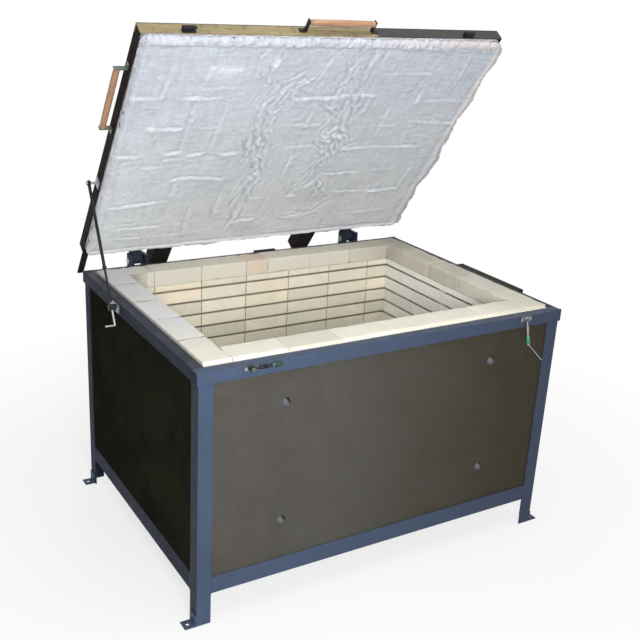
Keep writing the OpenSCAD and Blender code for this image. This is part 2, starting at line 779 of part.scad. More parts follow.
// Hinge leaves on the rear of the lid
module hinge_leaves() {
    color(paint) opened() for (s = [-1, 1]) translate([s * hinge_out - leaf_w / 2, 0, 0]) rotate([90, 0, 90])
        linear_extrude(leaf_w) difference() {
            union() {
                translate([hinge_y, hinge_z]) circle(r = leaf_r);
                polygon([
                    [lid_back, lid_z], [lid_back, lid_top], [lid_back + leaf_r, lid_top],
                    [hinge_y + leaf_r * cos(20), hinge_z + leaf_r * sin(20)],
                    [hinge_y - leaf_r * cos(30), hinge_z - leaf_r * sin(30)]
                ]);
            }
            translate([hinge_y, hinge_z]) circle(d = pin_d + 2 * run_fit);
        }
}

// Box-section arms on the cover and the flat bar at its left end, all running past the rear edge
module lid_arms() {
    cover_top = lid_top + cover_t;
    color(dark) opened() {
        for (s = [-1, 1]) translate([s * arm_out, 0, 0]) difference() {
            block(
                [-arm_w / 2, lid_back - arm_on, cover_top],
                [arm_w / 2, lid_back + arm_past, cover_top + arm_h]
            );
            block(
                [-arm_w / 2 + arm_t, lid_back - arm_on - overrun, cover_top + arm_t],
                [arm_w / 2 - arm_t, lid_back + arm_past + overrun, cover_top + arm_h - arm_t]
            );
        }
        translate([-lid_w / 2 + side_bar_in, 0, 0])
            block(
                [0, lid_back - arm_on, cover_top],
                [side_bar_w, lid_back + arm_past, cover_top + side_bar_t]
            );
    }
}

// Lug for the stay on the lid's left side
module stay_lug() {
    head_t = lug_pin_d / 3;
    pin_to = stay_x - max(rod_eye_w, rod_d) / 2 - swing_gap;
    color(steel) opened() translate([0, lug_y, lug_z]) {
        block(
            [-lid_w / 2 - lug_t, -lug_plate / 2, -lug_plate / 2],
            [-lid_w / 2, lug_plate / 2, lug_plate / 2]
        );
        bar_x(pin_to, -lid_w / 2 - lug_t, lug_pin_d);
        bar_x(pin_to - head_t, pin_to, rod_eye_d * 0.7);
    }
}

// A handle stands on the plane y = 0, with its grip along X
module straps() {
    for (s = [0, 1]) mirror([s, 0, 0]) {
        block([grip_l / 2, -strap_t, -strap_w / 2], [grip_l / 2 + strap_foot, 0, strap_w / 2]);
        block([grip_l / 2, -grip_off - grip_d / 2, -strap_w / 2], [grip_l / 2 + strap_t, 0, strap_w / 2]);
    }
}
module at_front_handle() { opened() translate([0, lid_front, lid_z + lid_drop / 2]) children(); }
module at_left_handle() {
    opened() translate([-lid_w / 2, lid_front + left_grip_y, lid_z + lid_drop / 2]) rotate([0, 0, -90])
        children();
}
module handle_straps() {
    color(dark) {
        at_front_handle() straps();
        at_left_handle() straps();
    }
}
module grip() { translate([0, -grip_off, 0]) bar_x(-grip_l / 2, grip_l / 2, grip_d); }
module handle_grips() {
    color(wood) {
        at_front_handle() grip();
        at_left_handle() grip();
    }
}

// Strikes on the lid's front, each with a slot that its swing bolt enters from the right
module strikes() {
    color(paint) opened() for (s = [-1, 1]) translate([s * latch_out, 0, lid_z]) difference() {
        block([-strike_w / 2, strike_front, 0], [strike_w / 2, lid_front, strike_h]);
        block(
            [-slot_w / 2, latch_y - slot_w / 2, -overrun],
            [strike_w / 2 + overrun, latch_y + slot_w / 2, strike_h + overrun]
        );
    }
}

// Stay rod: hangs from the lug, slides through the guide and ends in a bent tail
module stay_rod() {
    rod_end = rod_reach + rod_past;
    color(dark) translate([stay_x, lug_open_y, lug_open_z]) rotate([-rod_tilt, 0, 0]) difference() {
        union() {
            bar_x(-rod_eye_w / 2, rod_eye_w / 2, rod_eye_d);
            translate([0, 0, -rod_collar_at]) cylinder(d = rod_d, h = rod_collar_at);
            translate([0, 0, -rod_collar_at - rod_collar_d / 2])
                cylinder(d = rod_collar_d, h = rod_collar_d / 2);
            translate([0, 0, -rod_end]) cylinder(d = rod_thin_d, h = rod_end - rod_collar_at);
            translate([0, 0, -rod_end]) sphere(d = rod_thin_d);
            translate([0, 0, -rod_end]) bar_x(-rod_bend, 0, rod_thin_d);
        }
        bar_x(-rod_eye_w, rod_eye_w, lug_pin_d + 2 * run_fit);
    }
}

// Guide that the rod slides through, turning on a trunnion in the stay's plate
module stay_guide() {
    trunnion_to = -leg_x + fit;
    color(dark) translate([stay_x, guide_y, guide_z]) rotate([-rod_tilt, 0, 0]) {
        difference() {
            block([-guide_w / 2, -guide_w / 2, -guide_l / 2], [guide_w / 2, guide_w / 2, guide_l / 2]);
            translate([0, 0, -guide_l]) cylinder(d = guide_bore_d, h = 2 * guide_l);
        }
        bar_x(guide_w / 2, trunnion_to - stay_x, trunnion_d);
        bar_x(trunnion_to - stay_x, trunnion_to - stay_x + guide_wall, trunnion_d + guide_wall);
    }
}

// Swing bolts and knobs, drawn along +X from their pins
module swing_bolt() {
    difference() {
        union() {
            bar_y(-latch_eye_w / 2, latch_eye_w / 2, latch_eye_d);
            bar_x(0, knob_to + swing_gap + tip_l, shank_d);
            bar_x(shank_collar_at, shank_collar_at + shank_d, shank_collar_d);
            bar_x(knob_to + fit, knob_to + swing_gap + tip_l, tip_d);
        }
        bar_y(-latch_eye_w, latch_eye_w, latch_pin_d + 2 * run_fit);
    }
}
module swing_knob() {
    difference() {
        bar_x(knob_from, knob_to, knob_d);
        bar_x(knob_from - overrun, knob_to + overrun, shank_d + 2 * run_fit);
    }
}
module at_left_latch() { translate([-latch_out, latch_y, latch_z]) children(); }
module at_right_latch() {
    translate([latch_out, latch_y, latch_z]) rotate([0, 90 - latch_lean, 0]) children();
}
module latch_bolt_left() { color(steel) at_left_latch() swing_bolt(); }
module latch_knob_left() { color(green) at_left_latch() swing_knob(); }
module latch_bolt_right() {
    tip = knob_to + swing_gap + tip_l;
    wire_l = norm([wire_reach, wire_fall]);
    color(steel) at_right_latch() {
        swing_bolt();
        translate([tip - tip_l / 2, 0, 0]) rotate([0, -atan2(wire_reach, wire_fall), 0]) {
            bar_x(0, wire_l, wire_d);
            bar_x(wire_l, wire_l + wire_d, 2 * wire_d);
        }
    }
}
module latch_knob_right() { color(green) at_right_latch() swing_knob(); }

leg_front_left();
leg_front_right();
leg_back_left();
leg_back_right();
ring_front();
ring_back();
ring_left();
ring_right();
base_rail_front();
base_rail_back();
base_rail_left();
base_rail_right();
feet();
floor_plate();
panel_front();
panel_back();
panel_left();
panel_right();
panel_bolts();
board_front();
board_back();
board_left();
board_right();
floor_board();
wall_front();
wall_back();
wall_left();
wall_right();
rim_bricks();
hearth_bricks();
elements();
terminal_box();
terminal_cover();
terminal_blocks();
cable_gland();
hinge_brackets();
hinge_pins();
rear_buffer();
stay_base();
latch_brackets();
bracket_screws();
lid_rail_front();
lid_rail_back();
lid_rail_left();
lid_rail_right();
lid_cover();
lid_fibre();
hinge_leaves();
lid_arms();
stay_lug();
handle_straps();
handle_grips();
strikes();
stay_rod();
stay_guide();
latch_bolt_left();
latch_knob_left();
latch_bolt_right();
latch_knob_right();
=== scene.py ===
"""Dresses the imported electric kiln: brickwork, heating coils, fibre lining, fittings, finishes and stage."""
import json
import math

import bmesh
import bpy
import numpy as np
from bpy.props import FloatProperty, FloatVectorProperty, PointerProperty
from mathutils import Matrix, Vector, noise


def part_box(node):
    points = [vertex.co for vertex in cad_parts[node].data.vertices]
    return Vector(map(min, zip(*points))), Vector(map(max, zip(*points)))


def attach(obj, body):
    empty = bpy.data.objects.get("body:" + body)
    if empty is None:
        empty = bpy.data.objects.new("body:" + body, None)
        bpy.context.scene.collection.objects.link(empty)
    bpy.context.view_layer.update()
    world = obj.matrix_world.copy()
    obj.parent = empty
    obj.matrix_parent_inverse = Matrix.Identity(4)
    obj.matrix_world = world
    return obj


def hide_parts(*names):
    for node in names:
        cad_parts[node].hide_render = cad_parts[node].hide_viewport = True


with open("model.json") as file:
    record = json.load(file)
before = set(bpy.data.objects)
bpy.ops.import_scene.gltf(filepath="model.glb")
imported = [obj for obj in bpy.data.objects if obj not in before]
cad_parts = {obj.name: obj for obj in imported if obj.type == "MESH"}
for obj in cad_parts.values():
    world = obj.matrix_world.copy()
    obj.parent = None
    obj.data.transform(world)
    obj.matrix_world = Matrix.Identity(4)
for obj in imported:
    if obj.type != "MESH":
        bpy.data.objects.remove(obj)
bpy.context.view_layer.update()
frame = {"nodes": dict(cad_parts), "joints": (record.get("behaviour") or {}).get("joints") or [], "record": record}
NODES = frame["nodes"]
RECORD = frame["record"]
SLOT_OF = {row["node"]: row["material_slot"] for row in RECORD["subparts"]}
HINGE = next(j for j in frame["joints"] if j["name"] == "lid_hinge")

bl_info = {
    "name": "Electric kiln",
    "version": (1, 0, 0),
    "blender": (4, 5, 0),
    "location": "3D View > Sidebar > Kiln",
    "description": "Bricks, coils, lining, fittings and finishes for a top-loading electric kiln",
    "category": "Object",
}

# Counts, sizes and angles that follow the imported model, in metres and radians
COURSES = 10
COURSE_H = 0.0635
JOINT = 0.0008
GROOVE_H = 0.011
GROOVE_D = 0.018
WALL_T = 0.114
HALF_L, HALF_D = 0.686, 0.458
HEARTH_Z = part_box("hearth_bricks")[1].z + JOINT
COIL_X, COIL_Y = HALF_L + GROOVE_D / 2, HALF_D + GROOVE_D / 2
COIL_DROP = 0.0012
TAIL_Y = 0.025
TAIL_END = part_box("elements")[1].x
LID_OPEN = math.radians(HINGE["range_deg"][1])
HINGE_Y, HINGE_Z = HINGE["pos_m"][1], HINGE["pos_m"][2]
LID_MID_Y = 0.0025
LINING_X, LINING_Y = 0.819, 0.6205
LINING_FACE, LINING_BACK = 1.0575, 1.1377
LATCH_Y, LATCH_Z, LATCH_OUT = -0.635, 1.032, 0.640
LATCH_LEAN = math.radians(12)
STUD_R = 0.018
LEG_LEFT_FACE = -0.8365
# Start of all random draws
SEED = 7


def srgb(red, green, blue):
    """Display colour, 0 to 255, as the linear colour that shaders take."""
    def linear(v):
        v /= 255
        return v / 12.92 if v <= 0.04045 else ((v + 0.055) / 1.055) ** 2.4
    return (linear(red), linear(green), linear(blue))


def shade(name, text, colour):
    return FloatVectorProperty(
        name=name, description=text, subtype="COLOR", size=3, min=0, max=1, default=srgb(*colour)
    )


def length(name, text, value):
    return FloatProperty(name=name, description=text, default=value, min=0, unit="LENGTH", precision=4)


class KilnFinishes(bpy.types.PropertyGroup):
    """Colours of the kiln's finishes."""
    frame_blue: shade("Frame enamel", "Blue-grey enamel on the angle iron", (66, 79, 101))
    # Grime in patches, and painted shade that deepens towards the right of the frame
    frame_grime_and_shade: shade("Frame grime", "Dull blue towards the right of the frame", (50, 55, 70))
    hinge_dark: shade("Hinge enamel", "Darker enamel on the hinges", (44, 49, 61))
    strike_dark: shade("Strike enamel", "Nearly black enamel on the strikes", (34, 35, 40))
    # Painted shade: a darker copy of the frame enamel on the right and rear of the ring
    far_blue_shade: shade("Far ring", "Dirtier enamel on the right and rear of the ring", (42, 48, 58))
    # Painted shade: a darker copy of the frame enamel on the left faces of the frame
    left_blue_shade: shade("Left frame", "Duller enamel on the left side of the frame", (38, 44, 58))
    stud_grey: shade("Stud enamel", "Greyer enamel on the panel studs", (84, 85, 92))
    latch_dark: shade("Latch steel", "Dull zinc of the latch plates", (104, 110, 112))
    bolt_dark: shade("Left bolt", "Darker steel of the left latch's bolt", (52, 58, 60))
    panel_brown: shade("Panel enamel", "Brown-grey enamel on the sheet panels", (75, 73, 69))
    # Olive grime in patches, and on the front panel painted shade that deepens towards its right
    panel_olive_and_shade: shade("Panel grime", "Olive brown towards the right of the front panel", (52, 48, 37))
    # Painted shade: a darker copy of the panel enamel for the left panel, also used for the studs' painted shadow
    panel_shade_dark: shade("Left panel", "Darker enamel on the left panel", (35, 35, 30))
    left_grime: shade("Left panel grime", "Olive patches on the left panel", (52, 49, 36))
    lid_black: shade("Lid steel", "Black-brown paint on the lid and terminal box", (40, 35, 33))
    # Painted reflection: a warm tan on the left part of the lid's front rail
    rail_tan_reflection: shade("Front rail", "Worn tan paint on the lid's front rail", (152, 140, 106))
    brick_cream: shade("Firebrick", "Fired cream of the insulating bricks", (237, 232, 217))
    brick_inner: shade("Chamber brick", "Cleaner bricks within the chamber", (249, 246, 238))
    brick_rear: shade("Back wall brick", "Yellower bricks of the chamber's back wall", (229, 224, 204))
    # Painted shade: a cool grey on the rim's left row
    brick_cool_shade: shade("Left rim brick", "Cooler tone of the rim's left row", (214, 217, 222))
    brick_peach: shade("Warm brick", "Peach tone of the warmer bricks", (230, 208, 184))
    board_white: shade("Backup board", "Off-white of the backup insulation", (222, 218, 206))
    fibre_white: shade("Fibre", "Cool white of the ceramic fibre", (203, 209, 220))
    # Painted bounce light: a paler white towards the rear of the lid
    fibre_bounce_light: shade("Baked fibre", "Warmer white towards the rear of the lid", (238, 240, 240))
    # Greyer patches of the fibre, and painted shade in its folds and hollows
    fibre_grey_and_shade: shade("Fibre folds", "Greyer tone in the folds of the fibre", (158, 162, 172))
    # Whiter lumps and tufts, and painted highlight on the fold crests and hems
    fibre_fresh_and_highlight: shade("Fresh fibre", "Whiter tone of lumps and tufts", (234, 237, 243))
    fibre_edge: shade("Fibre edge", "Pinkish cream at the torn edges", (216, 196, 185))
    coil_dark: shade("Coil wire", "Oxidised resistance wire", (74, 66, 60))
    porcelain: shade("Porcelain", "Terminal blocks", (230, 224, 208))
    bare_steel: shade("Bare steel", "Unpainted fittings", (168, 172, 176))
    black_steel: shade("Black steel", "Painted straps and stay", (34, 33, 34))
    strap_bare: shade("Worn strap", "Steel where the handle straps are worn", (118, 122, 120))
    grip_wood: shade("Grip wood", "Varnished hardwood of the grips", (172, 128, 96))
    knob_green: shade("Knob", "Green plastic of the latch knobs", (30, 132, 74))
    knob_dark: shade("Left knob", "Darker green of the left latch's knob", (13, 68, 44))
    rubber: shade("Rubber", "Rear buffer and cable gland", (32, 32, 33))


class KilnSizes(bpy.types.PropertyGroup):
    """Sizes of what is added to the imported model."""
    brick_arris: length("Brick edge", "Rounding of a rim brick's edges", 0.0022)
    wall_arris: length("Wall brick edge", "Bevel of a wall or hearth brick's edges", 0.0012)
    rim_joint: length("Rim joint", "Width of the joints between rim bricks", 0.0013)
    open_joint: length("Open joint", "Width of the upright joints between wall bricks", 0.0044)
    coil_pitch: length("Coil pitch", "Distance between two turns of a heating coil", 0.010)
    coil_across: length("Coil width", "Width of a heating coil to the middle of its wire", 0.0054)
    coil_wire: length("Coil wire", "Thickness of the heating wire", 0.0024)
    steel_edge: length("Steel edge", "Rounding of the angle iron's edges", 0.0015)
    lining_step: length("Lining grid", "Distance between the lining's mesh lines", 0.005)
    lining_fine: length("Fine lining grid", "Distance between the mesh lines about the seams", 0.004)
    lining_round: length("Lining edge", "Rounding of the lining's edge", 0.030)
    fold_height: length("Fold height", "Height of the lapped folds", 0.0074)
    crumple_height: length("Crumple height", "Height of the short folds along the seams", 0.0070)
    tuft_length: length("Tuft length", "Length of the torn tufts at the lining's edge", 0.010)
    bead_width: length("Weld width", "Width of a weld bead", 0.006)
    screw_across: length("Screw head", "Diameter of a cover screw's head", 0.011)


class KilnStage(bpy.types.PropertyGroup):
    """Light on the kiln."""
    key_power: FloatProperty(name="Key", description="Lamp beside the camera", default=131, unit="POWER")
    top_power: FloatProperty(name="Top", description="Soft lamp overhead", default=52, unit="POWER")
    rear_power: FloatProperty(name="Rear", description="Soft lamp behind", default=40, unit="POWER")
    ambient: FloatProperty(name="Ambient", description="Even light from all round", default=0.19, min=0)
    floor_pale: shade("Floor", "Pale studio floor", (240, 240, 240))


# ---------------------------------------------------------------- node graphs

class Graph:
    """A node tree, with short ways to add to it."""

    def __init__(self, tree):
        self.tree = tree

    def put(self, socket, value):
        """Links an output to a socket, or sets the socket's value."""
        if isinstance(value, bpy.types.NodeSocket):
            self.tree.links.new(value, socket)
        else:
            socket.default_value = value

    def add(self, kind, values=None, **settings):
        """Adds a node, with settings first and then its input values or links."""
        node = self.tree.nodes.new(kind)
        for key, value in settings.items():
            setattr(node, key, value)
        for key, value in (values or {}).items():
            self.put(node.inputs[key], value)
        return node

    def maths(self, kind, first, second=0):
        return self.add("ShaderNodeMath", {0: first, 1: second}, operation=kind).outputs[0]

    def times(self, first, second):
        return self.maths("MULTIPLY", first, second)

    def plus(self, first, second):
        return self.maths("ADD", first, second)

    def most(self, first, second):
        return self.maths("MAXIMUM", first, second)

    def span(self, value, low, high, to_low=0.0, to_high=1.0):
        """A value between low and high, as a share or as another span."""
        return self.add("ShaderNodeMapRange", {
            "Value": value, "From Min": low, "From Max": high, "To Min": to_low, "To Max": to_high,
        }).outputs[0]

    def stored(self, name, output="Fac"):
        """What the mesh stores on its points under a name."""
        return self.add("ShaderNodeAttribute", attribute_name=name).outputs[output]

    def object_place(self):
        return self.add("ShaderNodeTexCoord").outputs["Object"]


class Paint(Graph):
    """A new material: a ground, the coats over it and the shader that they end in."""

    def __init__(self, name, local=False):
        self.made = bpy.data.materials.new(name)
        self.made.use_nodes = True
        super().__init__(self.made.node_tree)
        self.place = self.stored("local", "Vector") if local else self.object_place()
        self.base = None

    def along(self, axis):
        return self.add("ShaderNodeSeparateXYZ", {0: self.place}).outputs[axis]

    def lean(self, axis):
        """How far the surface faces along an axis."""
        normal = self.add("ShaderNodeNewGeometry").outputs["Normal"]
        return self.add("ShaderNodeSeparateXYZ", {0: normal}).outputs[axis]

    def cloud(self, scale, detail=4.0, rough=0.55, warp=0.0):
        """Soft noise from 0 to 1; a scale for each axis draws it out."""
        place = self.place
        if isinstance(scale, tuple):
            place = self.add("ShaderNodeMapping", {"Vector": place, "Scale": scale}).outputs[0]
            scale = 1.0
        return self.add("ShaderNodeTexNoise", {
            "Vector": place, "Scale": scale, "Detail": detail, "Roughness": rough, "Distortion": warp,
        }).outputs[0]

    def mix(self, share, first, second, blend="MIX"):
        values = {0: share, 6: first, 7: second}
        return self.add("ShaderNodeMix", values, data_type="RGBA", blend_type=blend).outputs[2]

    def ground(self, colour, share, dark, pale):
        """Starts with one colour, from darker to paler."""
        self.base = self.mix(share, tone(colour, dark), tone(colour, pale))

    def coat(self, colour, share, blend="MIX"):
        self.base = self.mix(share, self.base, colour, blend)

    def dent(self, height, strength, depth):
        values = {"Height": height, "Strength": strength, "Distance": depth}
        return self.add("ShaderNodeBump", values).outputs[0]

    def done(self, **sockets):
        shader = self.tree.nodes["Principled BSDF"]
        for key, value in {"Base_Color": self.base, **sockets}.items():
            self.put(shader.inputs[key.replace("_", " ")], value)
        return self.made


def tone(colour, gain=1.0):
    """The same colour, lighter or darker, with an alpha."""
    return tuple(min(1.0, c * gain) for c in colour[:3]) + (1.0,)


# ---------------------------------------------------------------- finishes

# Linear colours of what lies on the finishes or shows through them
# Dust for the enamel's upward faces; where it is heavy it is also painted light on top faces
DUST_AND_TOP_LIGHT = (0.30, 0.29, 0.27, 1)
RUST = (0.085, 0.055, 0.032, 1)
BARE_RAIL = (0.075, 0.078, 0.085, 1)
STEEL_FILM = (0.20, 0.15, 0.11, 1)
CHIPPED_PAINT = (0.35, 0.34, 0.33)
PALE_SPECKS = (0.40, 0.38, 0.35, 1)
# Shares of its colour that a rim brick keeps under painted shade: at the rear, at the right and in the left row's
# joints
REAR_SHADE_KEEPS = (0.76, 0.75, 0.73, 1)
RIGHT_SHADE_KEEPS = (0.80, 0.79, 0.78, 1)
JOINT_SHADE_KEEPS = (0.30, 0.29, 0.27, 1)


def enamel(name, colour, blotch, gloss, level, dust_and_top_light=0.1, blotch_size=3.0, grime=None, across=None, edge=None,
           shade_crescent=None):
    """Brushed-on enamel: soft blotches, dust on the upward faces and a slight peel.

    Grime lies in patches. Across a span of X it deepens as painted shade, and beyond an edge in X it covers all as
    painted shade.
    Heavy dust on the upward faces is also painted light, and a painted shadow, given as a crescent colour, darkens
    what faces up and to the right.
    """
    p = Paint(name)
    broad = p.cloud(blotch_size, 5.0, 0.6, 0.4)
    p.ground(colour, p.span(broad, 0.3, 0.7), 1 - blotch, 1 + blotch)
    smear = p.cloud(22.0, 6.0, 0.7, 0.8)
    p.coat(tone(colour, 1.28), p.span(smear, 0.4, 0.75, 0.0, 0.4))
    fleck = p.cloud(130.0, 4.0, 0.7)
    p.coat(tone(colour, 0.72), p.span(fleck, 0.52, 0.75, 0.0, 0.5))
    if grime:
        patchy = p.times(p.span(p.cloud(5.0, 6.0, 0.65, 0.6), 0.35, 0.7), p.span(fleck, 0.3, 0.6, 0.35, 0.8))
        # Painted shade: the grime deepens across a span of X, away from the light
        if across:
            side = p.span(p.plus(p.along(0), p.span(broad, 0.2, 0.8, -0.25, 0.25)), *across)
            patchy = p.most(p.times(patchy, 0.35), side)
        # Painted shade: the grime covers every face beyond an edge in X, turned from the light
        if edge:
            patchy = p.most(p.times(patchy, 0.2), p.span(p.along(0), edge, edge - 0.001))
        p.coat(p.mix(smear, tone(grime, 0.8), tone(grime, 1.2)), patchy)
    # Dust on the upward faces; heavy dust, as on the left frame, is also painted light there
    settled = p.span(p.cloud(14.0, 6.0, 0.7), 0.3, 0.75, 0.25 * dust_and_top_light, dust_and_top_light)
    p.coat(DUST_AND_TOP_LIGHT, p.times(p.span(p.lean(2), 0.6, 1.0), settled))
    # Painted shadow: faces turned up and to the right are darkened as a crescent
    if shade_crescent:
        side = p.plus(p.times(p.lean(0), 0.8), p.times(p.lean(2), 0.6))
        p.coat(tone(shade_crescent, 0.6), p.span(side, 0.12, 0.5))
    return p.done(Roughness=p.span(smear, 0.3, 0.7, gloss - 0.08, gloss + 0.14), Specular_IOR_Level=level,
                  Normal=p.dent(p.cloud(420.0, 2.0), 0.12, 0.0006))


def front_rail_finish(c):
    """Painted reflection on the lid's front rail: a warm tan on its left part, dark steel on the rest, rust in spots.
    """
    p = Paint("front_rail_paint")
    ragged = p.cloud(60.0, 4.0)
    bare = p.span(p.plus(p.along(0), p.span(ragged, 0.0, 1.0, -0.02, 0.02)), 0.165, 0.185)
    wear = p.cloud((9.0, 70.0, 70.0), 5.0, 0.6, 0.3)
    # The tan ground, streaked by the wear cloud, is painted reflection
    p.ground(c.rail_tan_reflection, p.span(wear, 0.35, 0.7), 0.72, 1.12)
    p.coat(p.mix(wear, tone(c.lid_black, 1.4), BARE_RAIL), bare)
    p.coat(RUST, p.span(p.cloud(34.0, 6.0, 0.7), 0.54, 0.72, 0.0, 0.75))
    return p.done(Roughness=p.span(wear, 0.3, 0.7, 0.4, 0.62), Specular_IOR_Level=0.15,
                  Normal=p.dent(ragged, 0.15, 0.0008))


def brick_finish(name, c, cream, rim=False):
    """Insulating firebrick: open pores, crumbs, faint fire marks and a tint of its own for each brick.

    The rim has painted shade towards the rear and right, a cooler painted shade on its left row, and painted shade in
    that row's joints.
    """
    p = Paint(name)
    tint = p.stored("tint")
    p.ground(cream, p.span(tint, 0.0, 0.85), 0.84, 1.09)
    p.coat(tone(c.brick_peach), p.span(tint, 0.55, 1.0, 0.0, 0.75))
    if rim:
        across, along = p.along(0), p.along(1)
        # Painted shade towards the rear and the right of the rim
        p.coat(REAR_SHADE_KEEPS, p.span(along, -0.6, 0.6, 0.0, 0.8), "MULTIPLY")
        p.coat(RIGHT_SHADE_KEEPS, p.span(across, 0.50, 0.72), "MULTIPLY")
        # Painted cool shade on the rim's left row
        left = p.times(p.span(across, -0.58, -0.68), p.span(along, -0.50, -0.15))
        p.coat(tone(c.brick_cool_shade), p.times(left, 0.75))
        # Painted shade on the faces within the left row's joints
        joint_shade = p.times(p.span(p.lean(1), -0.1, -0.5), p.span(across, -0.600, -0.615))
        p.coat(JOINT_SHADE_KEEPS, p.times(joint_shade, p.span(along, -0.560, -0.555)), "MULTIPLY")
    p.coat(tone(cream, 0.80), p.span(p.cloud(7.0, 5.0, 0.62, 0.5), 0.42, 0.75, 0.0, 0.7))
    pores = p.add("ShaderNodeTexVoronoi", {"Vector": p.place, "Scale": 260.0}).outputs["Distance"]
    pits = p.times(p.span(pores, 0.0, 0.35), p.span(p.cloud(150.0, 6.0, 0.7), 0.3, 0.55, 0.4, 1.0))
    p.coat(tone(cream, 0.6), p.span(pits, 0.0, 0.4, 0.22, 0.0))
    return p.done(Roughness=0.95, Specular_IOR_Level=0.12, Normal=p.dent(pits, 0.35, 0.0012))


def fibre_finish(c):
    """Needled ceramic fibre: fine ribs across, fuzz, greyer patches, pinkish torn edges, painted bounce light towards
    the rear, painted shade in the folds and hollows, and whiter lumps with painted highlight on ridges and hems.
    """
    p = Paint("ceramic_fibre", local=True)
    ribs = p.cloud((16.0, 190.0, 40.0), 3.0, 0.6, 0.3)
    wales = p.cloud((85.0, 9.0, 40.0), 4.0, 0.6, 0.5)
    weave = p.plus(p.times(ribs, 0.6), p.times(wales, 0.4))
    p.ground(c.fibre_white, p.span(weave, 0.36, 0.62), 0.84, 1.06)
    # Painted bounce light, paler towards the rear of the lid
    p.coat(tone(c.fibre_bounce_light), p.times(p.span(p.along(1), -0.45, 0.6), 0.8))
    p.coat(tone(c.fibre_grey_and_shade, 1.2), p.span(p.cloud(6.0, 4.0, 0.6, 0.5), 0.5, 0.8, 0.0, 0.35))
    # Painted shade from the fold attribute: hollows, tuft gaps, the front band and the flange beyond the lip
    p.coat(tone(c.fibre_grey_and_shade), p.times(p.stored("fold"), 0.6))
    # Whiter lumps and tufts, with painted highlight on the fold crests and hems
    p.coat(tone(c.fibre_fresh_and_highlight), p.stored("fresh"))
    p.coat(tone(c.fibre_edge), p.times(p.stored("edge"), p.span(p.cloud(28.0), 0.35, 0.6)))
    fuzz, crinkle = p.cloud(240.0, 5.0, 0.7), p.cloud(30.0, 7.0, 0.68, 1.2)
    relief = p.plus(p.plus(fuzz, p.times(ribs, 1.4)), p.plus(p.times(wales, 2.6), p.times(crinkle, 9.0)))
    return p.done(Roughness=1.0, Specular_IOR_Level=0.05, Sheen_Weight=0.15, Normal=p.dent(relief, 0.7, 0.0014))


def steel_finish(name, colour, rough=0.3):
    """Bare steel: drawn grain, dull spots and a brownish film."""
    p = Paint(name)
    drawn, spots = p.cloud((120.0, 24.0, 120.0), 3.0, 0.6), p.cloud(55.0, 5.0, 0.65)
    p.ground(colour, drawn, 0.8, 1.1)
    p.coat(STEEL_FILM, p.span(spots, 0.5, 0.75, 0.0, 0.35))
    return p.done(Metallic=0.9, Roughness=p.span(spots, 0.3, 0.7, rough, rough + 0.25),
                  Normal=p.dent(drawn, 0.08, 0.0004))


def black_finish(name, colour, bare=None, axis=2, low=0.0, high=0.0):
    """Thin black paint, chipped, or worn to bare steel from low to high along an axis."""
    p = Paint(name)
    chips = p.cloud(90.0, 6.0, 0.7)
    p.ground(colour, p.span(chips, 0.35, 0.65), 0.8, 1.5)
    if bare is None:
        share = p.span(chips, 0.70, 0.76, 0.0, 0.5)
    else:
        share = p.span(p.plus(p.along(axis), p.span(chips, 0.0, 1.0, -0.008, 0.008)), low, high)
    p.coat(tone(bare or CHIPPED_PAINT), share)
    return p.done(Metallic=share, Roughness=p.span(chips, 0.3, 0.7, 0.36, 0.55), Specular_IOR_Level=0.12,
                  Normal=p.dent(chips, 0.1, 0.0004))


def wood_finish(colour):
    """Varnished hardwood with its grain along the grip."""
    p = Paint("grip_wood", local=True)
    grain = p.cloud((160.0, 160.0, 9.0), 5.0, 0.6, 0.8)
    p.ground(colour, p.span(grain, 0.3, 0.7), 0.62, 1.25)
    p.coat(tone(colour, 0.5), p.span(p.cloud((50.0, 50.0, 5.0), 3.0, 0.5, 0.4), 0.45, 0.8, 0.0, 0.5))
    return p.done(Roughness=p.span(grain, 0.3, 0.7, 0.3, 0.46), Coat_Weight=0.25, Coat_Roughness=0.25,
                  Normal=p.dent(grain, 0.15, 0.0005))


def moulded_finish(name, colour, rough, level):
    """Moulded plastic, rubber, board or porcelain: faint flow marks, pale specks and a fine texture."""
    p = Paint(name)
    flow, speck = p.cloud(40.0, 4.0, 0.6, 0.5), p.cloud(300.0, 3.0, 0.7)
    p.ground(colour, p.span(flow, 0.3, 0.7), 0.82, 1.15)
    p.coat(PALE_SPECKS, p.span(speck, 0.62, 0.8, 0.0, 0.35))
    return p.done(Roughness=p.span(flow, 0.3, 0.7, rough, rough + 0.18), Specular_IOR_Level=level,
                  Normal=p.dent(speck, 0.08, 0.0004))


def coil_finish(colour):
    """Heating wire with a patchy grey-brown oxide skin."""
    p = Paint("oxidised_wire")
    scale = p.cloud(80.0, 5.0, 0.65)
    p.ground(colour, p.span(scale, 0.3, 0.7), 0.7, 1.5)
    return p.done(Metallic=0.35, Roughness=p.span(scale, 0.3, 0.7, 0.5, 0.75), Normal=p.dent(scale, 0.15, 0.0003))


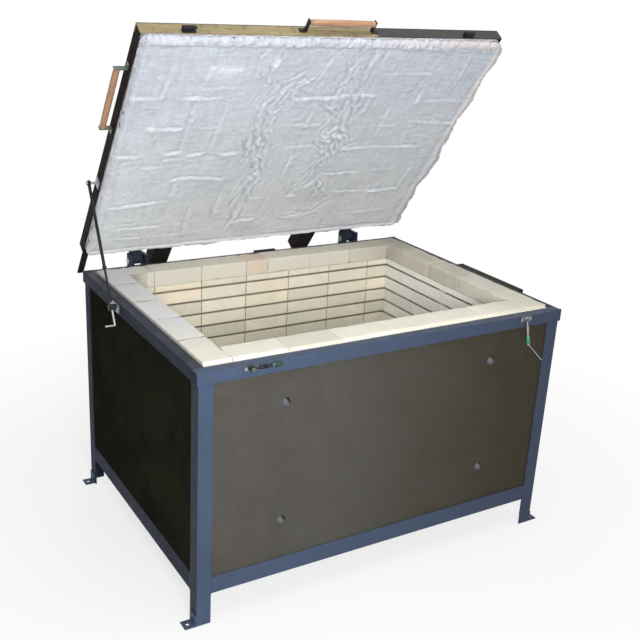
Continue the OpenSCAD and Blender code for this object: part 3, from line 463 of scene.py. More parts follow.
def finishes():
    """The finish for each of the record's slots, and the nodes with a finish of their own."""
    c = bpy.context.scene.kiln_finishes
    steel = tuple(c.bare_steel)
    slots = {
        # The frame's grime deepens towards the right as painted shade
        "frame_paint": enamel("frame_enamel", c.frame_blue, 0.14, 0.5, 0.1, 0.12, grime=c.frame_grime_and_shade,
                              across=(-0.55, 1.6)),
        "panel_paint": enamel("panel_enamel", c.panel_brown, 0.12, 0.55, 0.1, blotch_size=4.0, grime=c.panel_olive_and_shade),
        "lid_steel": enamel("lid_paint", c.lid_black, 0.25, 0.6, 0.03),
        "lid_front_paint": front_rail_finish(c),
        "firebrick": brick_finish("firebrick", c, c.brick_cream, rim=True),
        "board": moulded_finish("backup_board", c.board_white, 0.85, 0.1),
        "fibre": fibre_finish(c),
        "element_wire": coil_finish(c.coil_dark),
        "porcelain": moulded_finish("porcelain", c.porcelain, 0.12, 0.6),
        "bare_steel": steel_finish("bare_steel", steel),
        "black_steel": black_finish("black_paint", c.black_steel),
        "grip_wood": wood_finish(c.grip_wood),
        "green_knob": moulded_finish("green_plastic", c.knob_green, 0.25, 0.5),
        "buffer_rubber": moulded_finish("buffer_rubber", c.rubber, 0.7, 0.2),
        "gland_plastic": moulded_finish("gland_plastic", c.rubber, 0.4, 0.4),
    }
    hinge = enamel("hinge_enamel", c.hinge_dark, 0.2, 0.5, 0.08)
    inner = brick_finish("inner_firebrick", c, c.brick_inner)
    # Painted shade: darker enamel for the right and rear of the ring
    far = enamel("far_ring_enamel", c.far_blue_shade, 0.2, 0.55, 0.05)
    # Left side of the frame: painted shade in a darker enamel copy, and heavier dust that is also painted light on its
    # top flange
    left_shade = enamel("left_frame_enamel", c.left_blue_shade, 0.2, 0.5, 0.05, 0.22)
    own = {
        # The front panel's grime deepens towards the right as painted shade
        "panel_front": enamel("front_panel_enamel", c.panel_brown, 0.1, 0.55, 0.1, blotch_size=4.0,
                              grime=c.panel_olive_and_shade, across=(-0.35, 0.65)),
        # Painted shade: the left panel takes a darker copy of the panel enamel
        "panel_left": enamel("left_panel_enamel", c.panel_shade_dark, 0.25, 0.7, 0.0, blotch_size=4.0, grime=c.left_grime),
        "stay_rod": black_finish("stay_rod_paint", c.black_steel, steel, 2, 1.045, 1.030),
        "handle_straps": black_finish("strap_paint", c.black_steel, tuple(c.strap_bare), 0, -0.80, -0.82),
        "wall_front": inner, "wall_left": inner, "wall_right": inner, "hearth_bricks": inner,
        "wall_back": brick_finish("rear_firebrick", c, c.brick_rear),
        "latch_brackets": steel_finish("latch_steel", c.latch_dark),
        "latch_bolt_left": steel_finish("latch_dark_steel", c.bolt_dark, 0.35),
        "latch_knob_left": moulded_finish("dark_green_plastic", c.knob_dark, 0.25, 0.4),
        # The studs carry a painted shadow up and to the right
        "panel_bolts": enamel("stud_enamel", c.stud_grey, 0.15, 0.4, 0.2, shade_crescent=c.panel_shade_dark),
        "strikes": enamel("strike_enamel", c.strike_dark, 0.2, 0.55, 0.05),
        "hinge_brackets": hinge, "hinge_leaves": hinge, "ring_right": far, "ring_back": far,
        "ring_left": left_shade, "base_rail_left": left_shade, "leg_back_left": left_shade,
        # The front left leg's left face takes painted shade beyond its edge in X
        "leg_front_left": enamel("corner_enamel", c.frame_blue, 0.14, 0.5, 0.1, 0.12, grime=c.left_blue_shade,
                                 edge=LEG_LEFT_FACE),
    }
    return slots, own


def finish_for(slot):
    return bpy.data.materials[bpy.context.scene["kiln_slots"][slot]]


# ---------------------------------------------------------------- mesh helpers

def opened(points):
    """Points of the closed lid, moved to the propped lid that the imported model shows."""
    points = np.array(points, float).reshape(-1, 3)
    y, z = points[:, 1] - HINGE_Y, points[:, 2] - HINGE_Z
    c, s = math.cos(LID_OPEN), math.sin(LID_OPEN)
    return np.stack((points[:, 0], HINGE_Y + y * c + z * s, HINGE_Z - y * s + z * c), 1)


class Pile:
    """Gathers the vertices and faces of one piece, with each vertex's place on its own part."""

    def __init__(self):
        self.verts, self.faces, self.local = [], [], []

    def add(self, verts, faces, local=None):
        start = len(self.verts)
        self.verts.extend(tuple(v) for v in verts)
        self.faces.extend(tuple(start + i for i in face) for face in faces)
        self.local.extend(tuple(v) for v in (verts if local is None else local))

    def turned(self, profile, at, axis, sides=28, flutes=0, flute_depth=0.0):
        """A turned solid: profile holds (distance along the axis, radius), and ends on the axis."""
        axis = Vector(axis).normalized()
        side = axis.orthogonal().normalized()
        up = axis.cross(side)
        verts, local, rings, faces = [], [], [], []
        for along, radius in profile:
            centre = Vector(at) + axis * along
            count = sides if radius > 0 else 1
            rings.append(list(range(len(verts), len(verts) + count)))
            for i in range(count):
                a = 2 * math.pi * i / sides
                r = radius * (1 - flute_depth * (0.5 + 0.5 * math.cos(flutes * a)))
                verts.append(centre + side * (math.cos(a) * r) + up * (math.sin(a) * r))
                local.append((math.cos(a) * r, math.sin(a) * r, along))
        for low, high in zip(rings, rings[1:]):
            for i in range(sides):
                j = (i + 1) % sides
                if len(low) == 1:
                    faces.append((low[0], high[j], high[i]))
                elif len(high) == 1:
                    faces.append((low[i], low[j], high[0]))
                else:
                    faces.append((low[i], low[j], high[j], high[i]))
        self.add(verts, faces, local)

    def piece(self, name, finish, smooth=True):
        mesh = bpy.data.meshes.new(name)
        mesh.from_pydata(self.verts, [], self.faces)
        keep(mesh, "local", "FLOAT_VECTOR", np.array(self.local, float))
        mesh.materials.append(finish)
        if smooth:
            mesh.shade_smooth()
            mesh.set_sharp_from_angle(angle=math.radians(40))
        return linked(name, mesh)


def keep(mesh, name, kind, values):
    """Stores values on a mesh's points."""
    layer = mesh.attributes.new(name, kind, "POINT")
    field = "vector" if kind == "FLOAT_VECTOR" else "value"
    layer.data.foreach_set(field, np.asarray(values, np.float32).ravel())


def linked(name, mesh):
    made = bpy.data.objects.new(name, mesh)
    bpy.context.scene.collection.objects.link(made)
    return made


def settle(piece, body, slot, *nodes):
    """Puts a finished piece on its body and hides the nodes that it stands for; the slot is not used."""
    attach(piece, body)
    if nodes:
        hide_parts(*nodes)
    return piece


def points_mesh(name, places, edges=(), **attributes):
    mesh = bpy.data.meshes.new(name)
    mesh.from_pydata([tuple(p) for p in places], list(edges), [])
    for key, values in attributes.items():
        values = np.asarray(values, float)
        keep(mesh, key, "FLOAT_VECTOR" if values.ndim == 2 else "FLOAT", values)
    return linked(name, mesh)


# ---------------------------------------------------------------- geometry nodes

def new_tree(name, sockets):
    """A node group with a geometry in and out and the named inputs."""
    tree = bpy.data.node_groups.new(name, "GeometryNodeTree")
    for label, kind in [("Geometry", "Geometry"), *sockets]:
        tree.interface.new_socket(label, in_out="INPUT", socket_type="NodeSocket" + kind)
    tree.interface.new_socket("Geometry", in_out="OUTPUT", socket_type="NodeSocketGeometry")
    return Graph(tree), tree.nodes.new("NodeGroupInput").outputs


def end_tree(g, geometry, given):
    """Realizes the instances, sets the finish and ends the tree."""
    real = g.add("GeometryNodeRealizeInstances", {"Geometry": geometry})
    done = g.add("GeometryNodeSetMaterial", {"Geometry": real.outputs[0], "Material": given["Finish"]})
    g.add("NodeGroupOutput", {"Geometry": done.outputs[0]})
    return g.tree


def named(g, name, kind):
    return g.add("GeometryNodeInputNamedAttribute", {"Name": name}, data_type=kind).outputs[0]


def vector_maths(g, kind, *vectors, **values):
    return g.add("ShaderNodeVectorMath", {**dict(enumerate(vectors)), **values}, operation=kind).outputs[0]


def stepped(g, geometry, step):
    """The lines of a mesh as curves, with a point at every step."""
    line = g.add("GeometryNodeMeshToCurve", {"Mesh": geometry})
    return g.add("GeometryNodeResampleCurve", {"Curve": line.outputs[0], "Length": step}, mode="LENGTH").outputs[0]


def laid_tree():
    """Lays one shape on each point, turned and stretched as the point's attributes say."""
    g, given = new_tree("Laid pieces", [("Shapes", "Collection"), ("Finish", "Material")])
    shapes = g.add("GeometryNodeCollectionInfo", {
        "Collection": given["Shapes"], "Separate Children": True, "Reset Children": True,
    })
    turn = g.add("FunctionNodeEulerToRotation", {0: named(g, "turn", "FLOAT_VECTOR")})
    copies = g.add("GeometryNodeInstanceOnPoints", {
        "Points": given["Geometry"], "Instance": shapes.outputs[0], "Pick Instance": True,
        "Instance Index": named(g, "kind", "INT"),
        "Rotation": turn.outputs[0], "Scale": named(g, "stretch", "FLOAT_VECTOR"),
    })
    return end_tree(g, copies.outputs[0], given)


def wound_tree():
    """Winds a wire round each path; the attribute wind opens the coil from 0 to its full width."""
    g, given = new_tree("Wound wire", [
        ("Pitch", "Float"), ("Coil radius", "Float"), ("Wire radius", "Float"), ("Steps", "Int"),
        ("Finish", "Material"),
    ])
    path = stepped(g, given["Geometry"], g.maths("DIVIDE", given["Pitch"], given["Steps"]))
    run = g.add("GeometryNodeSplineParameter").outputs["Length"]
    angle = g.times(g.maths("DIVIDE", run, given["Pitch"]), 2 * math.pi)
    ahead = g.add("GeometryNodeInputTangent").outputs[0]
    side = vector_maths(g, "NORMALIZE", vector_maths(g, "CROSS_PRODUCT", ahead, (0, 0, 1)))
    over = vector_maths(g, "CROSS_PRODUCT", side, ahead)
    reach = g.times(given["Coil radius"], named(g, "wind", "FLOAT"))
    aside = vector_maths(g, "SCALE", side, Scale=g.times(reach, g.maths("COSINE", angle)))
    above = vector_maths(g, "SCALE", over, Scale=g.times(reach, g.maths("SINE", angle)))
    out = vector_maths(g, "ADD", aside, above)
    coil = g.add("GeometryNodeSetPosition", {"Geometry": path, "Offset": out})
    ring = g.add("GeometryNodeCurvePrimitiveCircle", {"Resolution": 4, "Radius": given["Wire radius"]})
    wire = g.add("GeometryNodeCurveToMesh", {
        "Curve": coil.outputs[0], "Profile Curve": ring.outputs[0], "Fill Caps": True,
    })
    return end_tree(g, wire.outputs[0], given)


def bead_tree():
    """Lays overlapping drops along each line, as a hand weld leaves them."""
    g, given = new_tree("Weld bead", [("Width", "Float"), ("Seed", "Int"), ("Finish", "Material")])
    line = stepped(g, given["Geometry"], g.times(given["Width"], 0.42))
    dots = g.add("GeometryNodeCurveToPoints", {"Curve": line}, mode="EVALUATED")
    drop = g.add("GeometryNodeMeshIcoSphere", {"Radius": g.times(given["Width"], 0.5), "Subdivisions": 2})
    size = g.add("FunctionNodeRandomValue", {
        0: (0.75, 0.75, 0.75), 1: (1.05, 1.05, 1.05), "Seed": given["Seed"],
    }, data_type="FLOAT_VECTOR")
    drops = g.add("GeometryNodeInstanceOnPoints", {
        "Points": dots.outputs[0], "Instance": drop.outputs[0], "Scale": size.outputs[0],
    })
    return end_tree(g, drops.outputs[0], given)


def grown(holder, tree, name, **values):
    """Runs a node group on a holder object and returns its result as a plain mesh object."""
    modifier = holder.modifiers.new("nodes", "NODES")
    modifier.node_group = tree
    for item in tree.interface.items_tree:
        if item.in_out == "INPUT" and item.name in values:
            modifier[item.identifier] = values[item.name]
    missing = set(values) - {item.name for item in tree.interface.items_tree}
    if missing:
        raise RuntimeError(f"the tree {tree.name} has no input {sorted(missing)}")
    graph = bpy.context.evaluated_depsgraph_get()
    mesh = bpy.data.meshes.new_from_object(
        holder.evaluated_get(graph), preserve_all_data_layers=True, depsgraph=graph
    )
    if not mesh.polygons:
        raise RuntimeError(f"{name} came out empty")
    mesh.name = name
    holder.modifiers.remove(modifier)
    bpy.data.objects.remove(holder)
    return linked(name, mesh)


def laid(name, shapes, places, turns, finish, kinds=0, stretch=(1, 1, 1), **attributes):
    """Lays copies of the shapes on the places and returns them as one mesh object."""
    count = len(places)
    choice = bpy.data.collections.new("shapes")
    bpy.context.scene.collection.children.link(choice)
    for i, shape in enumerate(shapes):
        shape.name = f"shape_{i:02d}"
        bpy.context.scene.collection.objects.unlink(shape)
        choice.objects.link(shape)
    points = points_mesh("points", places, turn=turns, stretch=np.broadcast_to(stretch, (count, 3)), **attributes)
    kind = points.data.attributes.new("kind", "INT", "POINT")
    kind.data.foreach_set("value", np.broadcast_to(kinds, count).astype(np.int32))
    tree = bpy.data.node_groups.get("Laid pieces") or laid_tree()
    made = grown(points, tree, name, Shapes=choice, Finish=finish)
    for shape in shapes:
        bpy.data.objects.remove(shape)
    bpy.data.collections.remove(choice)
    return made


# ---------------------------------------------------------------- bricks

LONG_BRICKS, SHORT_BRICKS, HEARTH_ROWS = 7, 4, 10
RIM_LONG, RIM_SHORT = 6, 5
# Wear of a rim brick: depth of its chips, how far in they reach and the spacing of its mesh lines
CHIP_DEPTH, CHIP_REACH, CHIP_GRID = 0.009, 0.012, 0.012
# Mean and spread of the bricks' tints, from cream at 0 to peach at 1
WALL_TINT, HEARTH_TINT, RIM_TINT = (0.42, 0.26), (0.40, 0.20), (0.34, 0.22)
BRICK_SKEW = 0.0010


def brick_shape(size_x, depth, size_z, arris, below=False, above=False):
    """A brick along X with its outer face at Y 0; its inner face may be cut back below and above for grooves."""
    half, back, cut = size_x / 2, depth - GROOVE_D, GROOVE_H / 2
    outline = [(0, 0), (depth, 0), (depth, size_z), (0, size_z)]
    if above:
        top = size_z + JOINT - cut
        outline[2:3] = [(depth, top), (back, top), (back, size_z)]
    if below:
        outline[1:2] = [(back, 0), (back, cut), (depth, cut)]
    shape = bmesh.new()
    left = shape.faces.new([shape.verts.new((-half, y, z)) for y, z in outline])
    right = bmesh.ops.extrude_face_region(shape, geom=[left])
    moved = [g for g in right["geom"] if isinstance(g, bmesh.types.BMVert)]
    bmesh.ops.translate(shape, verts=moved, vec=(size_x, 0, 0))
    bmesh.ops.recalc_face_normals(shape, faces=shape.faces)
    bmesh.ops.bevel(shape, geom=list(shape.edges), offset=arris, segments=1, affect="EDGES", clamp_overlap=True)
    bmesh.ops.triangulate(shape, faces=[f for f in shape.faces if len(f.verts) > 4])
    mesh = bpy.data.meshes.new("brick")
    shape.to_mesh(mesh)
    shape.free()
    return linked("brick", mesh)


def chipped_brick(pile, low, high, arris, seed):
    """A brick with rounded, crumbled edges that never stands outside its corners low and high."""
    low, high = Vector(low), Vector(high)
    lines = []
    for a in range(3):
        span_a = high[a] - low[a]
        count = max(2, round(span_a / CHIP_GRID))
        inner = [arris + (span_a - 2 * arris) * i / count for i in range(count + 1)]
        lines.append([0.0, arris * 0.4] + inner + [span_a - arris * 0.4, span_a])
    grid, verts, faces = {}, [], []

    def corner(key):
        if key not in grid:
            p = Vector(lines[a][key[a]] for a in range(3))
            size = high - low
            core = Vector(min(max(p[a], arris), size[a] - arris) for a in range(3))
            out = p - core
            if out.length > 1e-9:
                edge = sum(1 for a in range(3) if abs(out[a]) > 1e-9) > 1
                p = core + out.normalized() * arris if edge else p
            wear = max(0.0, noise.fractal((p + low) * 26 + Vector((seed, 0, 0)), 1.0, 2.0, 3) - 0.12)
            near = sorted(min(p[a], size[a] - p[a]) for a in range(3))
            rim = max(0.0, 1 - (near[0] + near[1]) / CHIP_REACH)
            p = p + (size / 2 - p).normalized() * (CHIP_DEPTH * wear * rim)
            grid[key] = len(verts)
            verts.append(low + p)
        return grid[key]

    for a in range(3):
        b, c = (a + 1) % 3, (a + 2) % 3
        for end in (0, len(lines[a]) - 1):
            for i in range(len(lines[b]) - 1):
                for j in range(len(lines[c]) - 1):
                    quad = []
                    for di, dj in ((0, 0), (1, 0), (1, 1), (0, 1)):
                        key = [0, 0, 0]
                        key[a], key[b], key[c] = end, i + di, j + dj
                        quad.append(corner(tuple(key)))
                    faces.append(quad if end else quad[::-1])
    pile.add(verts, faces)
    return len(verts)


class KILN_OT_bricks(bpy.types.Operator):
    """Lays the grooved wall bricks and the hearth, and makes the crumbled top course"""
    bl_idname = "kiln.bricks"
    bl_label = "Brickwork"

    def execute(self, context):
        sizes = context.scene.kiln_sizes
        rng = np.random.default_rng(SEED)
        cut_long, cut_short = 2 * (HALF_L + WALL_T) / LONG_BRICKS, 2 * HALF_D / SHORT_BRICKS
        walls = {
            "wall_front": (cut_long, LONG_BRICKS, 0.0, (0, -HALF_D - WALL_T)),
            "wall_back": (cut_long, LONG_BRICKS, math.pi, (0, HALF_D + WALL_T)),
            "wall_left": (cut_short, SHORT_BRICKS, -math.pi / 2, (-HALF_L - WALL_T, 0)),
            "wall_right": (cut_short, SHORT_BRICKS, math.pi / 2, (HALF_L + WALL_T, 0)),
        }
        split, whole = COURSE_H / 2 - JOINT, COURSE_H - JOINT
        for node, (cut, count, turn, origin) in walls.items():
            long = cut - sizes.open_joint
            shapes = [brick_shape(long, WALL_T, tall, sizes.wall_arris, *grooves) for tall, grooves in (
                (split, (False, True)), (whole, (True, True)), (split, (True, False)))]
            places, turns, tints, kinds = [], [], [], []
            for c in range(COURSES + 1):
                for i in range(count):
                    along = (i + 0.5 - count / 2) * cut
                    x = origin[0] + along * math.cos(turn)
                    y = origin[1] + along * math.sin(turn)
                    places.append((x, y, HEARTH_Z + max(0, c - 0.5) * COURSE_H))
                    turns.append((0, 0, turn + rng.normal(0, BRICK_SKEW)))
                    tints.append(min(0.9, max(0.0, rng.normal(*WALL_TINT))))
                    kinds.append(0 if c == 0 else 2 if c == COURSES else 1)
            tone_name = "rear_firebrick" if node == "wall_back" else "inner_firebrick"
            finish = bpy.data.materials[tone_name]
            made = laid(node + "_bricks", shapes, places, turns, finish, kinds, tint=tints)
            settle(made, "kiln", "firebrick", node)
        self.hearth(rng, sizes)
        self.rim(rng, sizes)
        return {"FINISHED"}

    def hearth(self, rng, sizes):
        low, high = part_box("hearth_bricks")
        rows, count = HEARTH_ROWS, LONG_BRICKS
        cut, deep = 2 * (HALF_L + WALL_T) / count, 2 * (HALF_D + WALL_T) / rows
        brick = brick_shape(cut - sizes.open_joint, deep - sizes.open_joint, high.z - low.z, sizes.wall_arris)
        places = [((i + 0.5 - count / 2) * cut, low.y + r * deep, low.z) for r in range(rows) for i in range(count)]
        tints = np.clip(rng.normal(*HEARTH_TINT, len(places)), 0, 0.9)
        finish = bpy.data.materials["inner_firebrick"]
        made = laid("hearth_brickwork", [brick], places, np.zeros((len(places), 3)), finish, tint=tints)
        settle(made, "kiln", "firebrick", "hearth_bricks")

    def rim(self, rng, sizes):
        low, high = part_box("rim_bricks")
        whole = 2 * HALF_L / RIM_LONG
        half, short = whole / 2, (high.y - low.y) / RIM_SHORT
        mixed = [half, whole, whole, half, whole, whole, whole]
        # Bricks of a row, its way, its two faces, its start and its warm bricks
        rows = [
            ([whole] * RIM_LONG, "x", low.y, low.y + WALL_T, -HALF_L, ()),
            (mixed, "x", high.y - WALL_T, high.y, -HALF_L, (3,)),
            ([short] * RIM_SHORT, "y", low.x, low.x + WALL_T, low.y, ()),
            ([short] * RIM_SHORT, "y", high.x - WALL_T, high.x, low.y, ()),
        ]
        pile, tints = Pile(), []
        for cuts, way, inner, outer, start, warm in rows:
            for i, cut in enumerate(cuts):
                a, b = start + sizes.rim_joint / 2, start + cut - sizes.rim_joint / 2
                start += cut
                near, far = ((a, inner), (b, outer)) if way == "x" else ((inner, a), (outer, b))
                count = chipped_brick(pile, (*near, low.z), (*far, high.z), sizes.brick_arris, len(tints) * 3.7)
                tint = 1.0 if i in warm else min(0.8, max(0.0, rng.normal(*RIM_TINT)))
                tints.extend([tint] * count)
        made = pile.piece("rim_brickwork", finish_for("firebrick"))
        keep(made.data, "tint", "FLOAT", tints)
        settle(made, "kiln", "firebrick", "rim_bricks")


# ---------------------------------------------------------------- heating coils

def element_path():
    """One element seen from above: in through the right wall, round the chamber and out again."""
    corner, steps, bend = 0.014, 5, 0.012
    points = [(TAIL_END, TAIL_Y, 0.0), (COIL_X + bend, TAIL_Y, 0.0), (COIL_X, TAIL_Y + bend, 1.0)]
    turns = [(COIL_X, COIL_Y, 0), (-COIL_X, COIL_Y, 1), (-COIL_X, -COIL_Y, 2), (COIL_X, -COIL_Y, 3)]
    for x, y, quarter in turns:
        cx, cy = x - math.copysign(corner, x), y - math.copysign(corner, y)
        for s in range(steps + 1):
            a = math.pi / 2 * (quarter + s / steps)
            points.append((cx + corner * math.cos(a), cy + corner * math.sin(a), 1.0))
    points += [(COIL_X, -TAIL_Y - bend, 1.0), (COIL_X + bend, -TAIL_Y, 0.0), (TAIL_END, -TAIL_Y, 0.0)]
    return points


def wound(name, paths, pitch, radius, wire, steps, finish):
    """Coils along several paths of (x, y, z, wind) points."""
    places, edges, wind = [], [], []
    for path in paths:
        start = len(places)
        places += [p[:3] for p in path]
        wind += [p[3] for p in path]
        edges += [(start + i, start + i + 1) for i in range(len(path) - 1)]
    holder = points_mesh("paths", places, edges, wind=wind)
    tree = bpy.data.node_groups.get("Wound wire") or wound_tree()
    made = grown(holder, tree, name, **{
        "Pitch": pitch, "Coil radius": radius, "Wire radius": wire / 2, "Steps": steps, "Finish": finish,
    })
    made.data.shade_smooth()
    return made


class KILN_OT_coils(bpy.types.Operator):
    """Winds the ten heating coils along their grooves"""
    bl_idname = "kiln.coils"
    bl_label = "Heating coils"

    def execute(self, context):
        sizes = context.scene.kiln_sizes
        flat = element_path()
        for name, courses in (("coils_lower", range(0, 5)), ("coils_upper", range(5, COURSES))):
            heights = [HEARTH_Z + (c + 0.5) * COURSE_H - COIL_DROP for c in courses]
            paths = [[(x, y, z, w) for x, y, w in flat] for z in heights]
            made = wound(name, paths, sizes.coil_pitch, sizes.coil_across / 2, sizes.coil_wire, 8,
                         finish_for("element_wire"))
            settle(made, "kiln", "element_wire", "elements")
        return {"FINISHED"}


# ---------------------------------------------------------------- lid lining

def lattice(x, y, seed):
    """Smooth noise from -1 to 1 on a plane."""
    table = np.random.default_rng(SEED * 100 + seed).random((64, 64)) * 2 - 1
    xi, yi = np.floor(x).astype(int), np.floor(y).astype(int)
    u, v = x - xi, y - yi
    u, v = u * u * u * (u * (6 * u - 15) + 10), v * v * v * (v * (6 * v - 15) + 10)
    a, b = table[xi % 64, yi % 64], table[(xi + 1) % 64, yi % 64]
    c, d = table[xi % 64, (yi + 1) % 64], table[(xi + 1) % 64, (yi + 1) % 64]
    return (a * (1 - u) + b * u) * (1 - v) + (c * (1 - u) + d * u) * v


def fractal(x, y, seed, octaves=3):
    total, gain = 0.0, 1.0
    for o in range(octaves):
        total = total + gain * lattice(x * 2 ** o + 17.3 * o, y * 2 ** o + 5.1 * o, seed + o)
        gain *= 0.5
    return total / 1.75


def ridged(x, y, seed, octaves=3):
    return 1 - 2 * np.abs(fractal(x, y, seed, octaves))


def bell(d, width):
    return np.exp(-(d / width) ** 2)


def smooth(value, low, high):
    t = np.clip((value - low) / (high - low), 0, 1)
    return t * t * (3 - 2 * t)


# Folds of the lining, in metres on the closed lid.
# Cross folds run from side to side: from X, to X, Y at both ends, height, bow towards the front.
CROSS_FOLDS = [
    (-0.820, -0.420, -0.338, -0.340, 1.0, 0.0), (-0.530, -0.390, -0.492, -0.478, 1.1, 0.004),
    (-0.120, 0.100, -0.328, -0.327, 1.0, 0.0), (0.100, 0.300, -0.343, -0.343, 0.5, 0.0),
    (0.250, 0.515, -0.456, -0.460, 0.9, 0.0), (0.560, 0.820, -0.290, -0.296, 0.8, 0.004),
    (-0.715, -0.572, -0.176, -0.178, 1.3, 0.0), (-0.130, 0.100, -0.170, -0.172, 0.45, 0.0),
    (0.570, 0.820, -0.165, -0.150, 0.75, 0.0), (0.270, 0.480, -0.150, -0.152, 0.4, 0.0),
    (-0.820, -0.705, -0.022, -0.026, 0.9, 0.0), (-0.605, -0.535, -0.028, -0.042, 1.3, 0.0),
    (-0.600, -0.510, 0.002, 0.000, 0.9, 0.0), (-0.510, -0.435, -0.015, -0.028, 1.0, 0.0),
    (-0.345, -0.275, -0.012, -0.016, 1.2, 0.003), (-0.110, 0.110, -0.036, -0.040, 0.45, 0.0),
    (0.290, 0.690, -0.012, -0.006, 0.75, 0.0), (-0.680, -0.510, 0.046, 0.038, 0.5, 0.0),
    (-0.540, -0.285, 0.138, 0.152, 0.7, 0.022), (0.235, 0.420, 0.162, 0.160, 0.8, 0.004),
    (0.440, 0.700, 0.150, 0.155, 0.35, 0.0), (-0.815, -0.535, 0.296, 0.268, 1.1, 0.0),
    (-0.105, 0.130, 0.295, 0.294, 0.65, 0.0), (0.300, 0.540, 0.290, 0.300, 0.45, 0.0),
    (0.540, 0.710, 0.305, 0.300, 0.9, 0.0), (-0.730, -0.525, 0.440, 0.438, 0.8, 0.0),
    (-0.155, -0.030, 0.458, 0.452, 0.8, 0.0), (0.135, 0.200, 0.452, 0.440, 1.1, 0.0),
    (0.420, 0.820, 0.462, 0.466, 0.4, 0.0), (-0.820, -0.300, 0.512, 0.508, 0.35, 0.0),
]
# Long folds run from front to back: X at both ends, from Y, to Y, height.
LONG_FOLDS = [
    (-0.678, -0.692, -0.585, -0.340, 1.0), (-0.530, -0.532, -0.492, -0.420, 0.9), (-0.540, -0.538, -0.335, 0.030, 0.7),
    (-0.405, -0.402, -0.330, -0.070, 0.5), (-0.010, -0.036, -0.555, -0.430, 0.9), (0.000, 0.004, -0.330, -0.160, 0.4),
    (0.225, 0.262, -0.590, -0.240, 0.6), (0.532, 0.524, -0.480, -0.300, 0.8), (0.395, 0.396, -0.240, -0.070, 0.45),
    (0.672, 0.680, -0.560, -0.390, 0.8), (0.300, 0.305, -0.300, -0.120, 0.4), (-0.512, -0.516, 0.140, 0.262, 0.6),
    (-0.395, -0.388, 0.340, 0.520, 0.6), (-0.272, -0.262, 0.230, 0.430, 0.9), (0.545, 0.550, 0.080, 0.165, 0.6),
    (0.712, 0.708, 0.150, 0.310, 0.7), (-0.770, -0.772, 0.010, 0.270, 0.35), (-0.640, -0.636, 0.060, 0.250, 0.4),
    (-0.598, -0.594, 0.300, 0.430, 0.5), (0.010, 0.006, 0.020, 0.150, 0.5), (0.560, 0.556, -0.150, -0.030, 0.4),
]
# Seams where the blanket is gathered: path, half width, crumples to a metre, height and length of the crumples.
SEAMS = [
    ([(-0.255, -0.590), (-0.262, -0.500), (-0.225, -0.330)], 0.050, 90, 0.6, 1.0),
    ([(-0.085, -0.440), (-0.150, -0.360), (-0.200, -0.240), (-0.185, -0.080)], 0.060, 210, 0.8, 1.2),
    ([(-0.190, -0.330), (-0.200, -0.150), (-0.180, 0.020)], 0.085, 130, 0.65, 2.0),
    ([(-0.200, -0.120), (-0.160, 0.030)], 0.060, 330, 0.85, 0.8),
    ([(-0.150, 0.020), (-0.135, 0.110), (-0.140, 0.200)], 0.026, 150, 1.0, 1.2),
    ([(-0.128, 0.180), (-0.150, 0.460)], 0.020, 55, 0.9, 3.2),
    ([(-0.200, 0.180), (-0.205, 0.430)], 0.060, 40, 0.45, 2.4),
    ([(0.118, -0.585), (0.092, -0.470), (0.106, -0.170)], 0.012, 75, 0.9, 2.0),
    ([(0.195, -0.560), (0.185, -0.160)], 0.062, 120, 0.65, 2.2),
    ([(0.180, -0.330), (0.190, -0.130)], 0.060, 220, 0.7, 1.0),
    ([(0.150, -0.125), (0.195, -0.080), (0.205, 0.035)], 0.075, 620, 0.95, 0.75),
    ([(0.175, 0.010), (0.160, 0.130), (0.130, 0.270)], 0.048, 220, 0.75, 1.2),
    ([(0.245, 0.210), (0.285, 0.330)], 0.034, 190, 0.7, 0.9),
    ([(0.130, 0.450), (0.310, 0.410)], 0.040, 130, 0.6, 1.0),
]
# Whiter tufts and patches: X, Y, half width, half depth, height.
PATCHES = [
    (-0.258, -0.515, 0.016, 0.022, 1.4), (-0.455, -0.468, 0.078, 0.034, 0.45), (0.530, -0.297, 0.012, 0.018, 1.6),
    (0.275, -0.008, 0.020, 0.014, 1.6), (-0.235, -0.285, 0.007, 0.020, 1.0), (-0.690, -0.172, 0.020, 0.012, 1.2),
    (0.130, -0.090, 0.014, 0.018, 1.4), (0.205, -0.095, 0.022, 0.010, 1.2), (-0.140, 0.120, 0.006, 0.030, 1.0),
]
SPARSE_CRUMPLES = 260
# The face's own unevenness: height, waves to a metre across and along, seed.
UNEVEN_FACE = [(0.0036, 4, 4, 3), (0.0011, 38, 5, 6), (0.0008, 50, 50, 7), (0.0022, 14, 11, 8)]


def lap(d, width, run):
    """Section of a lapped fold: a quick rise, then a slow fall over the run."""
    return smooth(d, -width, width) * np.exp(-np.maximum(d - width, 0) / run) - 0.25 * bell(d + 1.7 * width, width)


def stroke(t, low, high, soft=0.022):
    """1 between low and high, fading at both ends."""
    return smooth(t, low - soft, low + soft) * smooth(t, high + soft, high - soft)


def drift(t, scale, seed):
    """Smooth noise along a line."""
    return fractal(t * scale, t * 0, seed)


def uneven(t, scale, seed):
    """Strength along a fold, which comes and goes."""
    return np.clip(0.7 + 1.1 * drift(t, scale, seed), 0.05, 1.6)


def fold(d, strong, beads):
    """Section of a fold with its lumps: the lap where it is strong and a rounded lip where it is beaded."""
    return strong * (0.75 * lap(d, 0.0055, 0.036) + 0.55 * beads * bell(d - 0.005, 0.0085))


